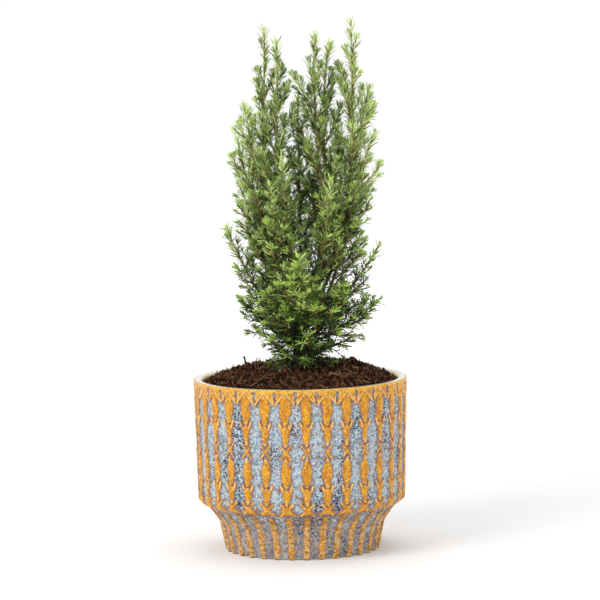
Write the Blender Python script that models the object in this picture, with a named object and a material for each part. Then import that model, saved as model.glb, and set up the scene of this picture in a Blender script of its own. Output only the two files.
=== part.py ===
"""Potted upright conifer, in metres, +Z up, with the front towards -Y.

A round glazed pot with a moulded leaf relief holds mounded potting soil. A short stem with a
root flare stands on the soil and splits into slender boughs. Each bough carries one mass of
foliage: a stem with side shoots, and needles that stand out of every shoot. The origin is the
centre of the pot's underside.
"""
import math

import bmesh
import bpy
import numpy as np

# Clearance between solids that touch on the real object
GAP = 0.0003

# Pot: heights above the underside, and radii measured over the tops of the ribs
POT_HEIGHT = 0.153
RIM_RADIUS = 0.095
DRUM_CORNER_HEIGHT = 0.0456
DRUM_CORNER_RADIUS = 0.0924
SHOULDER_HEIGHT = 0.0375
SHOULDER_RADIUS = 0.0820
WAIST_HEIGHT = 0.0257
WAIST_RADIUS = 0.0738
FOOT_RADIUS = 0.0686
WALL = 0.0085
FLOOR_THICKNESS = 0.011
RIB_COUNT = 32
LINES_PER_RIB = 4
RIB_TURN = math.radians(2.9)
RELIEF_DEPTH = 0.0022
RIM_ROUND = 0.0012
INNER_SIDES = 32

# Relief of one rib, read from the rim down: height, then how far the crest line, the two
# flank lines and the valley line stand out, as shares of the relief depth
RELIEF_ROWS = (
    (0.1518, 1.0, 1.0, 1.0),
    (0.1495, 0.6, 0.9, 0.0),
    (0.1410, 1.0, 0.4, 0.3),
    (0.1275, 1.0, 0.1, 0.0),
    (0.1240, 0.4, 0.8, 0.0),
    (0.1170, 1.0, 0.2, 0.0),
    (0.1062, 0.9, 0.0, 0.1),
    (0.1040, 0.2, 0.9, 0.0),
    (0.0985, 1.0, 0.0, 0.0),
    (0.0925, 0.2, 0.8, 0.0),
    (0.0895, 1.0, 0.1, 0.0),
    (0.0710, 1.0, 0.2, 0.0),
    (0.0680, 0.1, 0.9, 0.0),
    (0.0635, 1.0, 0.1, 0.0),
    (0.0520, 0.8, 0.3, 0.0),
    (DRUM_CORNER_HEIGHT, 0.5, 0.5, 0.0),
    (SHOULDER_HEIGHT, 0.9, 0.0, 0.0),
    (WAIST_HEIGHT, 1.0, 0.1, 0.0),
    (0.0, 1.0, 0.2, 0.0),
)

# Soil: its edge lies below the rim, and it mounds up round the stem
SOIL_EDGE_HEIGHT = 0.149
SOIL_CENTRE_HEIGHT = 0.1600
SOIL_BACK_RISE = 0.0022
SOIL_RIGHT_RISE = 0.0014
SOIL_LUMP = 0.0011
SOIL_PAD_RADIUS = 0.011

# Stem inside the foot of the plant
TRUNK_TOP_HEIGHT = 0.236
TRUNK_FLARE_RADIUS = 0.0085
TRUNK_RADIUS = 0.0048
TRUNK_TOP_RADIUS = 0.0026
TRUNK_FLARE_HEIGHT = 0.006
TRUNK_LEAN = (0.004, 0.002)

# Crown: an upright envelope round its own axis, as height and radius
CROWN_AXIS_X = 0.004
CROWN_RADII = (
    (0.165, 0.034),
    (0.185, 0.054),
    (0.222, 0.072),
    (0.375, 0.072),
    (0.410, 0.064),
    (0.475, 0.052),
)

# Leaders, from the outermost and lowest to the tallest: name, tip, sideways lean at the tip
# per metre of height, and the height at which the leader leaves the stem
LEADERS = (
    ("foot_left", (-0.026, 0.010, 0.184), (-0.9, 0.3), 0.1672),
    ("foot_right", (0.029, 0.013, 0.186), (1.0, 0.4), 0.1674),
    ("foot_front_left", (-0.012, -0.036, 0.1785), (-0.4, -1.4), 0.1670),
    ("foot_front_right", (0.018, -0.028, 0.187), (0.5, -0.9), 0.1672),
    ("foot_back", (0.000, 0.030, 0.186), (0.0, 0.9), 0.1670),
    ("skirt_left", (-0.034, -0.020, 0.194), (-1.6, -0.8), 0.1690),
    ("skirt_right", (0.049, -0.010, 0.190), (1.9, -0.3), 0.1700),
    ("skirt_front", (0.006, -0.046, 0.196), (0.2, -1.8), 0.1715),
    ("skirt_back", (-0.004, 0.046, 0.200), (0.0, 1.8), 0.1700),
    ("low_left", (-0.056, 0.006, 0.226), (-1.1, 0.0), 0.1780),
    ("low_right", (0.074, 0.004, 0.222), (1.3, 0.0), 0.1780),
    ("low_front_left", (-0.030, -0.050, 0.236), (-0.5, -0.9), 0.1790),
    ("low_front_right", (0.042, -0.048, 0.240), (0.6, -0.8), 0.1800),
    ("low_back_left", (-0.036, 0.048, 0.240), (-0.6, 0.8), 0.1810),
    ("low_back_right", (0.044, 0.046, 0.232), (0.7, 0.7), 0.1820),
    ("side_left", (-0.064, -0.008, 0.290), (-0.4, -0.1), 0.1870),
    ("side_right", (0.073, -0.008, 0.272), (0.6, -0.1), 0.1870),
    ("front", (0.000, -0.060, 0.268), (0.0, -0.4), 0.1890),
    ("back", (0.008, 0.060, 0.290), (0.1, 0.4), 0.1880),
    ("high_left", (-0.0535, 0.012, 0.368), (-0.26, 0.1), 0.1970),
    ("high_right", (0.0705, -0.006, 0.373), (0.40, 0.0), 0.1960),
    ("front_left", (-0.024, -0.044, 0.330), (-0.1, -0.2), 0.1970),
    ("front_right", (0.030, -0.046, 0.333), (0.1, -0.2), 0.2020),
    ("back_left", (-0.030, 0.044, 0.372), (-0.1, 0.2), 0.2010),
    ("back_right", (0.040, 0.042, 0.366), (0.15, 0.2), 0.2030),
    ("shoulder_left", (-0.046, -0.012, 0.397), (-0.22, 0.0), 0.2090),
    ("shoulder_right", (0.066, 0.010, 0.411), (0.26, 0.0), 0.2090),
    ("shoulder_front", (-0.013, -0.034, 0.353), (-0.05, -0.1), 0.2130),
    ("shoulder_back", (0.002, 0.034, 0.402), (0.0, 0.1), 0.2160),
    ("spire_left", (-0.0265, 0.006, 0.462), (0.0, 0.0), 0.2230),
    ("spire_right", (0.0495, -0.002, 0.4712), (-0.02, 0.0), 0.2210),
    ("spire_left_twin", (-0.0155, -0.012, 0.453), (-0.02, -0.05), 0.2310),
    ("spire_middle", (0.018, -0.010, 0.457), (0.08, -0.02), 0.2290),
    ("spire_middle_twin", (0.031, 0.014, 0.449), (0.20, 0.05), 0.2342),
)

# Spurs, the long side shoots that end in a tip of their own: leader, height of the root, tip
SPURS = (
    ("spire_left_twin", 0.385, (-0.0075, -0.016, 0.411)),
    ("spire_middle", 0.390, (-0.0010, -0.018, 0.422)),
    ("spire_middle_twin", 0.385, (0.0330, 0.024, 0.415)),
    ("spire_right", 0.395, (0.0385, 0.004, 0.429)),
    ("shoulder_right", 0.372, (0.0680, 0.000, 0.392)),
    ("high_right", 0.318, (0.0740, -0.014, 0.342)),
    ("high_left", 0.332, (-0.0570, 0.002, 0.349)),
    ("shoulder_left", 0.358, (-0.0500, -0.020, 0.379)),
)

# How a leader bends: out from the stem, then up into its lean
LEADER_START_RISE = 1.05
LEADER_START_REACH = 0.26
LEADER_TIP_REACH = 0.42
LEADER_POINTS = 15
SHORT_LEADER = 0.10
BARE_SHARE = 0.17
LIMB_TIP_RADIUS = 0.0006
LIMB_BASE_RADIUS = 0.0008
LIMB_SWELL = 0.0046

# Side shoots and needles
BRUSH_RADIUS = 0.0068
BRUSH_TIP_LENGTH = 0.120
BRUSH_TIP_RADIUS = 0.0020
BRUSH_FILL_LENGTH = 0.030
BRUSH_PIECE = 0.042
CELL_SHARE = 0.46
SHOOT_STEP = 0.0195
LOW_SHOOT_STEP = 0.0125
SHOOT_SHARE = 0.42
SHOOT_SHORTEST = 0.010
SHOOT_LONGEST = 0.042
SHOOT_ANGLE = math.radians(38)
SHOOT_TIP_ANGLE = math.radians(24)
SHOOT_CLOSING = (0.45, 0.85)
SHOOT_RISE = 0.6
SHOOT_CORE_RADIUS = 0.0029
SHOOT_CORE_RADII = (0.0012, SHOOT_CORE_RADIUS, 0.0004)
GOLDEN_TURN = math.pi * (3.0 - math.sqrt(5.0))
NEEDLE_LENGTH = 0.0135
NEEDLE_WIDTH = 0.0034
NEEDLE_THICKNESS = 0.0015
NEEDLE_ANGLE = math.radians(38)
NEEDLE_STEP = 0.0085
STEM_NEEDLE_STEP = 0.0145
NEEDLE_SINK = 0.45
NEEDLED_FROM = 0.35
CELL_MARGIN = 0.0005
LIMB_MARGIN = 0.0006
WELD = 0.000004
UNION_TRIES = 8
SEED = 11

# Finishes: colour, roughness
FINISHES = {
    "glaze": ((0.47, 0.30, 0.12), 0.18),
    "soil": ((0.050, 0.026, 0.014), 0.95),
    "bark": ((0.135, 0.105, 0.050), 0.80),
    "needles": ((0.090, 0.190, 0.045), 0.60),
}


def clear_scene():
    """Remove whatever the scene holds."""
    for old in list(bpy.data.objects):
        bpy.data.objects.remove(old, do_unlink=True)


def finish_material(node, finish):
    """A material of the node's own, with the finish's colour and roughness."""
    colour, roughness = FINISHES[finish]
    material = bpy.data.materials.new(f"{node}_{finish}")
    material.use_nodes = True
    shader = material.node_tree.nodes["Principled BSDF"]
    shader.inputs["Base Color"].default_value = (*colour, 1.0)
    shader.inputs["Roughness"].default_value = roughness
    shader.inputs["Metallic"].default_value = 0.0
    return material


def add_object(name, bm, finish=None, collection=None, smooth_angle=None):
    """Put a bmesh into the scene as one named object, with its faces pointing out."""
    bmesh.ops.recalc_face_normals(bm, faces=bm.faces)
    mesh = bpy.data.meshes.new(name)
    bm.to_mesh(mesh)
    bm.free()
    item = bpy.data.objects.new(name, mesh)
    (collection or bpy.context.scene.collection).objects.link(item)
    if finish:
        mesh.materials.append(finish_material(name, finish))
    if smooth_angle:
        mesh.shade_smooth()
        mesh.set_sharp_from_angle(angle=smooth_angle)
    return item


def loft(bm, rings):
    """Join closed rings of points, all of one count, into a tube with flat ends."""
    loops = [[bm.verts.new(point) for point in ring] for ring in rings]
    for lower, upper in zip(loops, loops[1:]):
        count = len(lower)
        for i in range(count):
            j = (i + 1) % count
            bm.faces.new((lower[i], lower[j], upper[j], upper[i]))
    bm.faces.new(loops[0][::-1])
    bm.faces.new(loops[-1])
    return loops


def ring_at(height, radii, turn=0.0):
    """A level ring of points, one for each radius, evenly spaced round the axis."""
    angles = turn + np.arange(len(radii)) * 2 * math.pi / len(radii)
    return [(r * math.cos(a), r * math.sin(a), height) for r, a in zip(radii, angles)]


def pot_radius(height):
    """Radius over the tops of the ribs at a height."""
    heights = (0.0, WAIST_HEIGHT, SHOULDER_HEIGHT, DRUM_CORNER_HEIGHT, POT_HEIGHT)
    radii = (FOOT_RADIUS, WAIST_RADIUS, SHOULDER_RADIUS, DRUM_CORNER_RADIUS, RIM_RADIUS)
    return float(np.interp(height, heights, radii))


def inner_profile():
    """The inside of the pot as heights and radii, from the rim to the floor."""
    return (
        (POT_HEIGHT, RIM_RADIUS - WALL),
        (DRUM_CORNER_HEIGHT + WALL * 0.6, DRUM_CORNER_RADIUS - WALL),
        (SHOULDER_HEIGHT + WALL * 0.4, SHOULDER_RADIUS - WALL),
        (WAIST_HEIGHT, WAIST_RADIUS - WALL),
        (FLOOR_THICKNESS, FOOT_RADIUS - WALL),
    )


def rib_ring(height, crest, flank, valley):
    """One ring of the relief: crest, flank, valley and flank lines round every rib."""
    outer = pot_radius(height)
    shares = (crest, flank, valley, flank) * RIB_COUNT
    radii = [outer - RELIEF_DEPTH * (1.0 - share) for share in shares]
    first_rib = RIB_TURN - math.pi / 2
    return ring_at(height, radii, first_rib)


def make_pot():
    """Outer wall with its relief, rounded rim, inner wall, floor and flat underside."""
    bm = bmesh.new()
    outer = [rib_ring(*row) for row in RELIEF_ROWS]
    line_count = RIB_COUNT * LINES_PER_RIB
    first_rib = RIB_TURN - math.pi / 2
    rim = ring_at(POT_HEIGHT, [RIM_RADIUS - RIM_ROUND] * line_count, first_rib)
    loops = [[bm.verts.new(p) for p in ring] for ring in [rim] + outer]
    for upper, lower in zip(loops, loops[1:]):
        for i in range(line_count):
            j = (i + 1) % line_count
            bm.faces.new((lower[i], lower[j], upper[j], upper[i]))
    bm.faces.new(loops[-1][::-1])

    inner = [ring_at(z, [r] * INNER_SIDES, first_rib) for z, r in inner_profile()]
    inner_loops = [[bm.verts.new(p) for p in ring] for ring in inner]
    for upper, lower in zip(inner_loops, inner_loops[1:]):
        for i in range(INNER_SIDES):
            j = (i + 1) % INNER_SIDES
            bm.faces.new((upper[i], upper[j], lower[j], lower[i]))
    bm.faces.new(inner_loops[-1])

    step = line_count // INNER_SIDES
    for i in range(INNER_SIDES):
        edge = [loops[0][(i * step + k) % line_count] for k in range(step + 1)]
        corner = inner_loops[0][i]
        for a, b in zip(edge, edge[1:]):
            bm.faces.new((a, b, corner))
        bm.faces.new((edge[-1], inner_loops[0][(i + 1) % INNER_SIDES], corner))
    return add_object("pot", bm, "glaze", smooth_angle=math.radians(38))


def soil_height(x, y):
    """Mounded top of the soil: high round the stem, at the back and right, with small lumps."""
    edge_radius = RIM_RADIUS - WALL
    reach = min(1.0, math.hypot(x, y) / edge_radius)
    mound = (1.0 - reach ** 5) * (SOIL_CENTRE_HEIGHT - SOIL_EDGE_HEIGHT)
    away = min(1.0, max(0.0, math.hypot(x, y) / SOIL_PAD_RADIUS - 1.0))
    tilt = SOIL_BACK_RISE * y + SOIL_RIGHT_RISE * x
    tilt *= 2.0 * (1.0 - reach ** 2) / edge_radius
    lumps = math.sin(x * 190 + 0.6) * math.cos(y * 170 + 1.1) + math.sin(x * 83 - y * 97)
    lumps *= SOIL_LUMP * (1.0 - reach ** 4)
    return SOIL_EDGE_HEIGHT + mound + away * (tilt + lumps)


def make_soil():
    """Soil that fills the pot from its floor to a mounded top, clear of the wall."""
    bm = bmesh.new()
    first_rib = RIB_TURN - math.pi / 2
    side = []
    for height, radius in reversed(inner_profile()[1:]):
        lift = GAP if height == FLOOR_THICKNESS else 0.0
        side.append(ring_at(height + lift, [radius - 2 * GAP] * INNER_SIDES, first_rib))
    top = []
    edge_radius = RIM_RADIUS - WALL - 2 * GAP
    for share in (1.0, 0.86, 0.68, 0.48, 0.30, SOIL_PAD_RADIUS / edge_radius):
        ring = ring_at(0.0, [edge_radius * share] * INNER_SIDES, first_rib)
        top.append([(x, y, soil_height(x, y)) for x, y, _ in ring])
    loft(bm, side + top)
    return add_object("soil", bm, "soil", smooth_angle=math.radians(50))


def trunk_axis(height):
    """Axis of the stem at a height: it leaves the soil upright and leans a little."""
    rise = (height - SOIL_CENTRE_HEIGHT) / (TRUNK_TOP_HEIGHT - SOIL_CENTRE_HEIGHT)
    return np.array((TRUNK_LEAN[0] * rise ** 1.5, TRUNK_LEAN[1] * rise ** 1.5, height))


def trunk_radius(height):
    """Radius of the stem: a root flare at the soil, then an even taper."""
    base = SOIL_CENTRE_HEIGHT + GAP
    flare = max(0.0, 1.0 - (height - base) / TRUNK_FLARE_HEIGHT)
    rise = (height - base) / (TRUNK_TOP_HEIGHT - base)
    shaft = TRUNK_RADIUS + (TRUNK_TOP_RADIUS - TRUNK_RADIUS) * rise
    return shaft + (TRUNK_FLARE_RADIUS - TRUNK_RADIUS) * flare ** 2


def make_trunk():
    """Short tapering stem with a flared foot, cut flat where it meets the soil."""
    bm = bmesh.new()
    base = SOIL_CENTRE_HEIGHT + GAP
    heights = [base, base + 0.0015, base + 0.0035, base + 0.0062, 0.185, 0.205, 0.222]
    rings = []
    for height in heights + [TRUNK_TOP_HEIGHT]:
        centre = trunk_axis(height)
        ring = ring_at(height, [trunk_radius(height)] * 9)
        rings.append([(x + centre[0], y + centre[1], z) for x, y, z in ring])
    loft(bm, rings)
    return add_object("trunk", bm, "bark", smooth_angle=math.radians(50))


def unit(vector):
    """The vector at length one."""
    return vector / np.linalg.norm(vector)


def leader_curve(tip, lean, height):
    """Points of a leader from the stem's side to its tip: a cubic curve, out, then up."""
    tip = np.array(tip)
    axis = trunk_axis(height)
    outward = tip - axis
    outward[2] = 0.0
    outward = unit(outward)
    start = axis + outward * (trunk_radius(height) + GAP)
    chord = np.linalg.norm(tip - start)
    rise = LEADER_START_RISE * min(1.0, (tip[2] - start[2]) / chord)
    leave = unit(outward + np.array((0.0, 0.0, rise)))
    arrive = unit(np.array((lean[0], lean[1], 1.0)))
    first = start + leave * chord * LEADER_START_REACH
    second = tip - arrive * chord * LEADER_TIP_REACH
    t = np.linspace(0.0, 1.0, LEADER_POINTS)[:, None]
    curve = start * (1 - t) ** 3 + 3 * first * t * (1 - t) ** 2
    return curve + 3 * second * t ** 2 * (1 - t) + tip * t ** 3, outward


def path_lengths(points):
    """Distance along a path to each of its points."""
    steps = np.linalg.norm(np.diff(points, axis=0), axis=1)
    return np.concatenate(([0.0], np.cumsum(steps)))


def path_between(points, start, end, count):
    """Evenly spaced points on a path between two distances along it."""
    along = path_lengths(points)
    wanted = np.linspace(start, end, count)
    return np.stack([np.interp(wanted, along, points[:, k]) for k in range(3)], axis=1)


def path_frame(points, distance):
    """Point and direction of a path at a distance along it."""
    step = 0.001
    total = path_lengths(points)[-1]
    ahead = path_between(points, max(0.0, distance - step), min(total, distance + step), 3)
    return ahead[1], unit(ahead[2] - ahead[0])


def side_axes(direction):
    """Two directions square to a given one."""
    helper = np.array((0.0, 0.0, 1.0)) if abs(direction[2]) < 0.9 else np.array((1.0, 0.0, 0.0))
    side = unit(np.cross(direction, helper))
    return side, np.cross(direction, side)


def tube_rings(points, radii, sides, first_normal=None):
    """Rings round a path, carried along without twist."""
    directions = np.gradient(points, axis=0)
    side, _ = side_axes(unit(directions[0]))
    angles = np.arange(sides) * 2 * math.pi / sides
    rings = []
    for index, (point, direction, radius) in enumerate(zip(points, directions, radii)):
        along = unit(direction)
        if index == 0 and first_normal is not None:
            along = first_normal
        side = unit(side - along * np.dot(side, along))
        up = np.cross(along, side)
        rings.append([tuple(point + radius * (math.cos(a) * side + math.sin(a) * up))
                      for a in angles])
    return rings


def distances_to_paths(samples, paths):
    """Distance from each sample point to each path, as an array of samples by paths."""
    table = []
    for path in paths:
        start = path[:-1][None, :, :]
        span = np.diff(path, axis=0)[None, :, :]
        offset = samples[:, None, :] - start
        share = np.clip((offset * span).sum(2) / (span ** 2).sum(2), 0.0, 1.0)
        nearest = offset - share[:, :, None] * span
        table.append(np.sqrt((nearest ** 2).sum(2)).min(axis=1))
    return np.stack(table, axis=1)


def crown_radius(height):
    """Radius of the crown's envelope at a height."""
    heights, radii = zip(*CROWN_RADII)
    return np.interp(height, heights, radii)


class Leader:
    """One leader: its path, its bare bough and the stem of its mass of foliage."""

    def __init__(self, index, name, tip, lean, height):
        self.index = index
        self.name = name
        self.path, self.outward = leader_curve(tip, lean, height)
        self.length = path_lengths(self.path)[-1]
        self.has_bough = self.length > SHORT_LEADER
        self.bare = self.length * BARE_SHARE if self.has_bough else 0.0
        self.base_radius = LIMB_BASE_RADIUS + LIMB_SWELL * self.length

    def radius(self, distance):
        """Radius of the limb at a distance from the stem."""
        share = distance / self.length
        return self.base_radius + (LIMB_TIP_RADIUS - self.base_radius) * share


def make_bough(leader):
    """The bare lower limb of a leader, from the stem's side to its mass of foliage."""
    bm = bmesh.new()
    count = 6
    points = path_between(leader.path, 0.0, leader.bare, count)
    radii = [leader.radius(d) for d in np.linspace(0.0, leader.bare, count)]
    loft(bm, tube_rings(points, radii, 6, leader.outward))
    return add_object(f"bough_{leader.name}", bm, "bark", smooth_angle=math.radians(60))


def in_own_space(samples, leader, leaders, others_clearance):
    """True where sample points are nearest to their own leader, in the crown, off the soil."""
    table = distances_to_paths(samples, [item.path for item in leaders])
    own = table[:, leader.index]
    others = np.delete(table, leader.index, axis=1).min(axis=1)
    reach = np.hypot(samples[:, 0] - CROWN_AXIS_X, samples[:, 1])
    inside = reach < crown_radius(samples[:, 2])
    ground = np.array([soil_height(x, y) for x, y in samples[:, :2]])
    clear = samples[:, 2] > ground + 0.002
    stem = np.array([np.hypot(*(point - trunk_axis(point[2]))[:2]) - trunk_radius(point[2])
                     for point in samples])
    clear &= (stem > LIMB_MARGIN) | (samples[:, 2] > TRUNK_TOP_HEIGHT + LIMB_MARGIN)
    return (own + others_clearance < others) & inside & clear


def off_own_bough(samples, leader):
    """True where sample points stay clear of the leader's own bare bough."""
    if not leader.has_bough:
        return np.ones(len(samples), dtype=bool)
    bough = path_between(leader.path, 0.0, leader.bare + GAP, 8)
    distance = distances_to_paths(samples, [bough])[:, 0]
    return distance > leader.radius(0.0) + LIMB_MARGIN


def shoot_curve(root, direction, around, length, angle):
    """A side shoot: it leaves its stem at an angle and bends towards the upright."""
    side, up = side_axes(direction)
    sideways = math.cos(around) * side + math.sin(around) * up
    leave = math.cos(angle) * direction + math.sin(angle) * sideways
    arrive = unit(leave + SHOOT_RISE * np.array((0.0, 0.0, 1.0)))
    t = np.linspace(0.0, 1.0, 5)[:, None]
    bent = leave * (1 - t) + arrive * t
    steps = bent[1:] / np.linalg.norm(bent[1:], axis=1)[:, None] * length / 4
    return np.vstack((root[None, :], root + np.cumsum(steps, axis=0)))


def keep_within(path, leader, leaders):
    """The part of a shoot that stays in its leader's own space, or None where that is short."""
    fine = path_between(path, 0.0, path_lengths(path)[-1], 13)
    good = in_own_space(fine, leader, leaders, 2 * SHOOT_CORE_RADIUS + CELL_MARGIN)
    good[:2] = True
    good &= np.concatenate(([True, True], off_own_bough(fine[2:], leader)))
    count = len(fine) if good.all() else int(np.argmin(good))
    kept = fine[:count]
    if count < 3 or path_lengths(kept)[-1] < SHOOT_SHORTEST * 0.8:
        return None
    return path_between(kept, 0.0, path_lengths(kept)[-1], 3)


def needle(bm, root, direction, broad_side, length):
    """A flat pointed needle: a thin three-cornered root that runs out to one point."""
    thick_side = np.cross(direction, broad_side)
    base = [root + broad_side * NEEDLE_WIDTH / 2, root - broad_side * NEEDLE_WIDTH / 2,
            root - thick_side * NEEDLE_THICKNESS]
    corners = [bm.verts.new(tuple(point)) for point in base]
    tip = bm.verts.new(tuple(root + direction * length))
    bm.faces.new(corners[::-1])
    for a, b in ((0, 1), (1, 2), (2, 0)):
        bm.faces.new((corners[a], corners[b], tip))


def needle_places(path, start, step, first_turn, core_radius):
    """Root, direction and broad side of each needle along a path, sunk in the core round it."""
    total = path_lengths(path)[-1]
    places = []
    count = max(1, int((total - start) / step))
    for k in range(count):
        distance = start + (k + 0.5) * step
        point, direction = path_frame(path, distance)
        side, up = side_axes(direction)
        around = first_turn + k * GOLDEN_TURN
        sideways = math.cos(around) * side + math.sin(around) * up
        aim = math.cos(NEEDLE_ANGLE) * direction + math.sin(NEEDLE_ANGLE) * sideways
        root = point + sideways * core_radius(distance) * NEEDLE_SINK
        places.append((root, aim, unit(np.cross(aim, direction))))
    return places


def add_needles(pieces, places, leader, leaders):
    """Add each needle that stays in its leader's own space."""
    for root, aim, broad in places:
        shares = np.array((0.35, 0.7, 1.0))[:, None]
        middle = root + aim * NEEDLE_LENGTH * shares
        edges = np.vstack((middle, middle[:1] + broad * NEEDLE_WIDTH / 2,
                           middle[:1] - broad * NEEDLE_WIDTH / 2))
        if not in_own_space(edges, leader, leaders, 2 * CELL_MARGIN + NEEDLE_THICKNESS).all():
            continue
        if not off_own_bough(edges, leader).all():
            continue
        bm = bmesh.new()
        needle(bm, root, aim, broad, NEEDLE_LENGTH)
        pieces.append(bm)


def brush_radius(leader, distance):
    """Radius of the packed middle of a leader's foliage: it swells, then thins to the tip."""
    start = leader.bare
    tip_start = max(start + BRUSH_FILL_LENGTH, leader.length - BRUSH_TIP_LENGTH)
    places = (start, start + BRUSH_FILL_LENGTH, tip_start, leader.length - 0.012, leader.length)
    radii = (leader.radius(start), BRUSH_RADIUS, BRUSH_RADIUS, BRUSH_TIP_RADIUS, LIMB_TIP_RADIUS)
    return float(np.interp(distance, places, radii))


def room_radius(point, leader, leaders):
    """How far a round core may reach at a point before it meets a neighbour, stem or soil."""
    table = distances_to_paths(point[None, :], [item.path for item in leaders])[0]
    room = np.delete(table, leader.index).min() * CELL_SHARE
    if point[2] < TRUNK_TOP_HEIGHT:
        stem = np.hypot(*(point - trunk_axis(point[2]))[:2]) - trunk_radius(point[2])
        room = min(room, stem - LIMB_MARGIN)
    ground = point[2] - soil_height(point[0], point[1]) - LIMB_MARGIN
    return max(LIMB_TIP_RADIUS, min(room, ground))


def make_brush(leader, leaders):
    """The stem of a mass with the packed middle of its needles: a many-sided spindle."""
    gap = GAP if leader.has_bough else 0.0
    first = leader.bare + gap
    count = 4 + int((leader.length - first) / BRUSH_PIECE)
    points = path_between(leader.path, first, leader.length, count)
    radii = []
    for point, distance in zip(points, np.linspace(first, leader.length, count)):
        radii.append(min(brush_radius(leader, distance), room_radius(point, leader, leaders)))
    radii[0] = leader.radius(first)
    bm = bmesh.new()
    loft(bm, tube_rings(points, radii, 5, None if leader.has_bough else leader.outward))
    return bm


def side_shoots(leader, rng):
    """Paths and turns of a leader's side shoots, which stand closer to it near its tip."""
    shoots = []
    turn = rng.uniform(0.0, 2 * math.pi)
    step = SHOOT_STEP if leader.has_bough else LOW_SHOOT_STEP
    distance = leader.bare + step * 0.7
    while distance < leader.length - step * 0.8:
        room = leader.length - distance
        length = min(SHOOT_LONGEST, SHOOT_SHORTEST + SHOOT_SHARE * room)
        length *= rng.uniform(0.8, 1.2)
        turn += GOLDEN_TURN
        root, direction = path_frame(leader.path, distance)
        angle = np.interp(distance / leader.length, SHOOT_CLOSING, (SHOOT_ANGLE, SHOOT_TIP_ANGLE))
        shoots.append((shoot_curve(root, direction, turn, length, angle), turn))
        distance += step
    return shoots


def spurs_of(leader):
    """Paths of the leader's long side shoots: out from the root, then up to the tip."""
    spurs = []
    for name, height, tip in SPURS:
        if name != leader.name:
            continue
        share = np.interp(height, leader.path[:, 2], path_lengths(leader.path))
        root, direction = path_frame(leader.path, share)
        reach = np.array(tip) - root
        bend = root + reach * 0.5 + np.array((reach[0], reach[1], 0.0)) * 0.18
        t = np.linspace(0.0, 1.0, 5)[:, None]
        spurs.append(root * (1 - t) ** 2 + 2 * bend * t * (1 - t) + np.array(tip) * t ** 2)
    return spurs


def foliage_pieces(leader, leaders):
    """The core of a mass, then its side shoots and needles, each a closed piece."""
    rng = np.random.default_rng(SEED + leader.index)
    pieces = [make_brush(leader, leaders)]
    shoots = side_shoots(leader, rng)
    shoots += [(path, index * GOLDEN_TURN) for index, path in enumerate(spurs_of(leader))]
    for path, turn in shoots:
        kept = keep_within(path, leader, leaders)
        if kept is None:
            continue
        bm = bmesh.new()
        loft(bm, tube_rings(kept, SHOOT_CORE_RADII, 3))
        pieces.append(bm)
        start = path_lengths(kept)[-1] * NEEDLED_FROM
        places = needle_places(kept, start, NEEDLE_STEP, turn, lambda distance: 0.0)
        add_needles(pieces, places, leader, leaders)
    start = leader.bare + BRUSH_FILL_LENGTH * 0.5
    places = needle_places(leader.path, start, STEM_NEEDLE_STEP, 0.0,
                           lambda distance: brush_radius(leader, distance))
    add_needles(pieces, places, leader, leaders)
    return pieces


def largest_shell(bm):
    """Keep only the largest closed shell of a mesh: loose scraps and sealed hollows go."""
    waiting = set(bm.faces)
    shells = []
    while waiting:
        queue = [waiting.pop()]
        shell = list(queue)
        while queue:
            for edge in queue.pop().edges:
                for face in edge.link_faces:
                    if face in waiting:
                        waiting.remove(face)
                        queue.append(face)
                        shell.append(face)
        shells.append(shell)
    shells.sort(key=len)
    for shell in shells[:-1]:
        bmesh.ops.delete(bm, geom=shell, context="FACES")
    loose = [vertex for vertex in bm.verts if not vertex.link_faces]
    bmesh.ops.delete(bm, geom=loose, context="VERTS")


def tidy_union(mesh):
    """Weld a joined mesh, drop its scraps, and say whether it is one closed surface."""
    bm = bmesh.new()
    bm.from_mesh(mesh)
    bmesh.ops.triangulate(bm, faces=bm.faces)
    bmesh.ops.remove_doubles(bm, verts=bm.verts, dist=WELD)
    bmesh.ops.dissolve_degenerate(bm, dist=WELD, edges=bm.edges)
    bmesh.ops.triangulate(bm, faces=bm.faces)
    largest_shell(bm)
    bmesh.ops.recalc_face_normals(bm, faces=bm.faces)
    sound = all(len(edge.link_faces) == 2 for edge in bm.edges)
    bm.to_mesh(mesh)
    bm.free()
    return sound


def join_pieces(name, pieces, solver):
    """Join closed pieces by one union on a collection, and say whether the result is sound."""
    parts = bpy.data.collections.new(f"{name}_parts")
    bpy.context.scene.collection.children.link(parts)
    body = add_object(name, pieces[0].copy())
    for number, bm in enumerate(pieces[1:]):
        add_object(f"{name}_part_{number}", bm.copy(), collection=parts)
    union = body.modifiers.new("join", "BOOLEAN")
    union.operation = "UNION"
    union.operand_type = "COLLECTION"
    union.collection = parts
    union.solver = solver
    graph = bpy.context.evaluated_depsgraph_get()
    joined = bpy.data.meshes.new_from_object(body.evaluated_get(graph))
    body.modifiers.clear()
    body.data = joined
    for part in list(parts.objects):
        bpy.data.objects.remove(part, do_unlink=True)
    bpy.data.collections.remove(parts)
    return body, tidy_union(joined)


def make_foliage(leader, leaders):
    """One mass of foliage as one closed solid, with fewer needles where they won't join."""
    name = f"foliage_{leader.name}"
    pieces = foliage_pieces(leader, leaders)
    for dropped in range(UNION_TRIES):
        for solver in ("EXACT", "MANIFOLD"):
            body, sound = join_pieces(name, pieces[:len(pieces) - dropped], solver)
            if sound:
                body.data.materials.clear()
                body.data.materials.append(finish_material(name, "needles"))
                return body
            bpy.data.objects.remove(body, do_unlink=True)
    raise RuntimeError(f"{name} has no sound union")


def build():
    """Make every node of the potted plant."""
    clear_scene()
    make_pot()
    make_soil()
    make_trunk()
    leaders = [Leader(index, *row) for index, row in enumerate(LEADERS)]
    for leader in leaders:
        if leader.has_bough:
            make_bough(leader)
        make_foliage(leader, leaders)


build()
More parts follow.
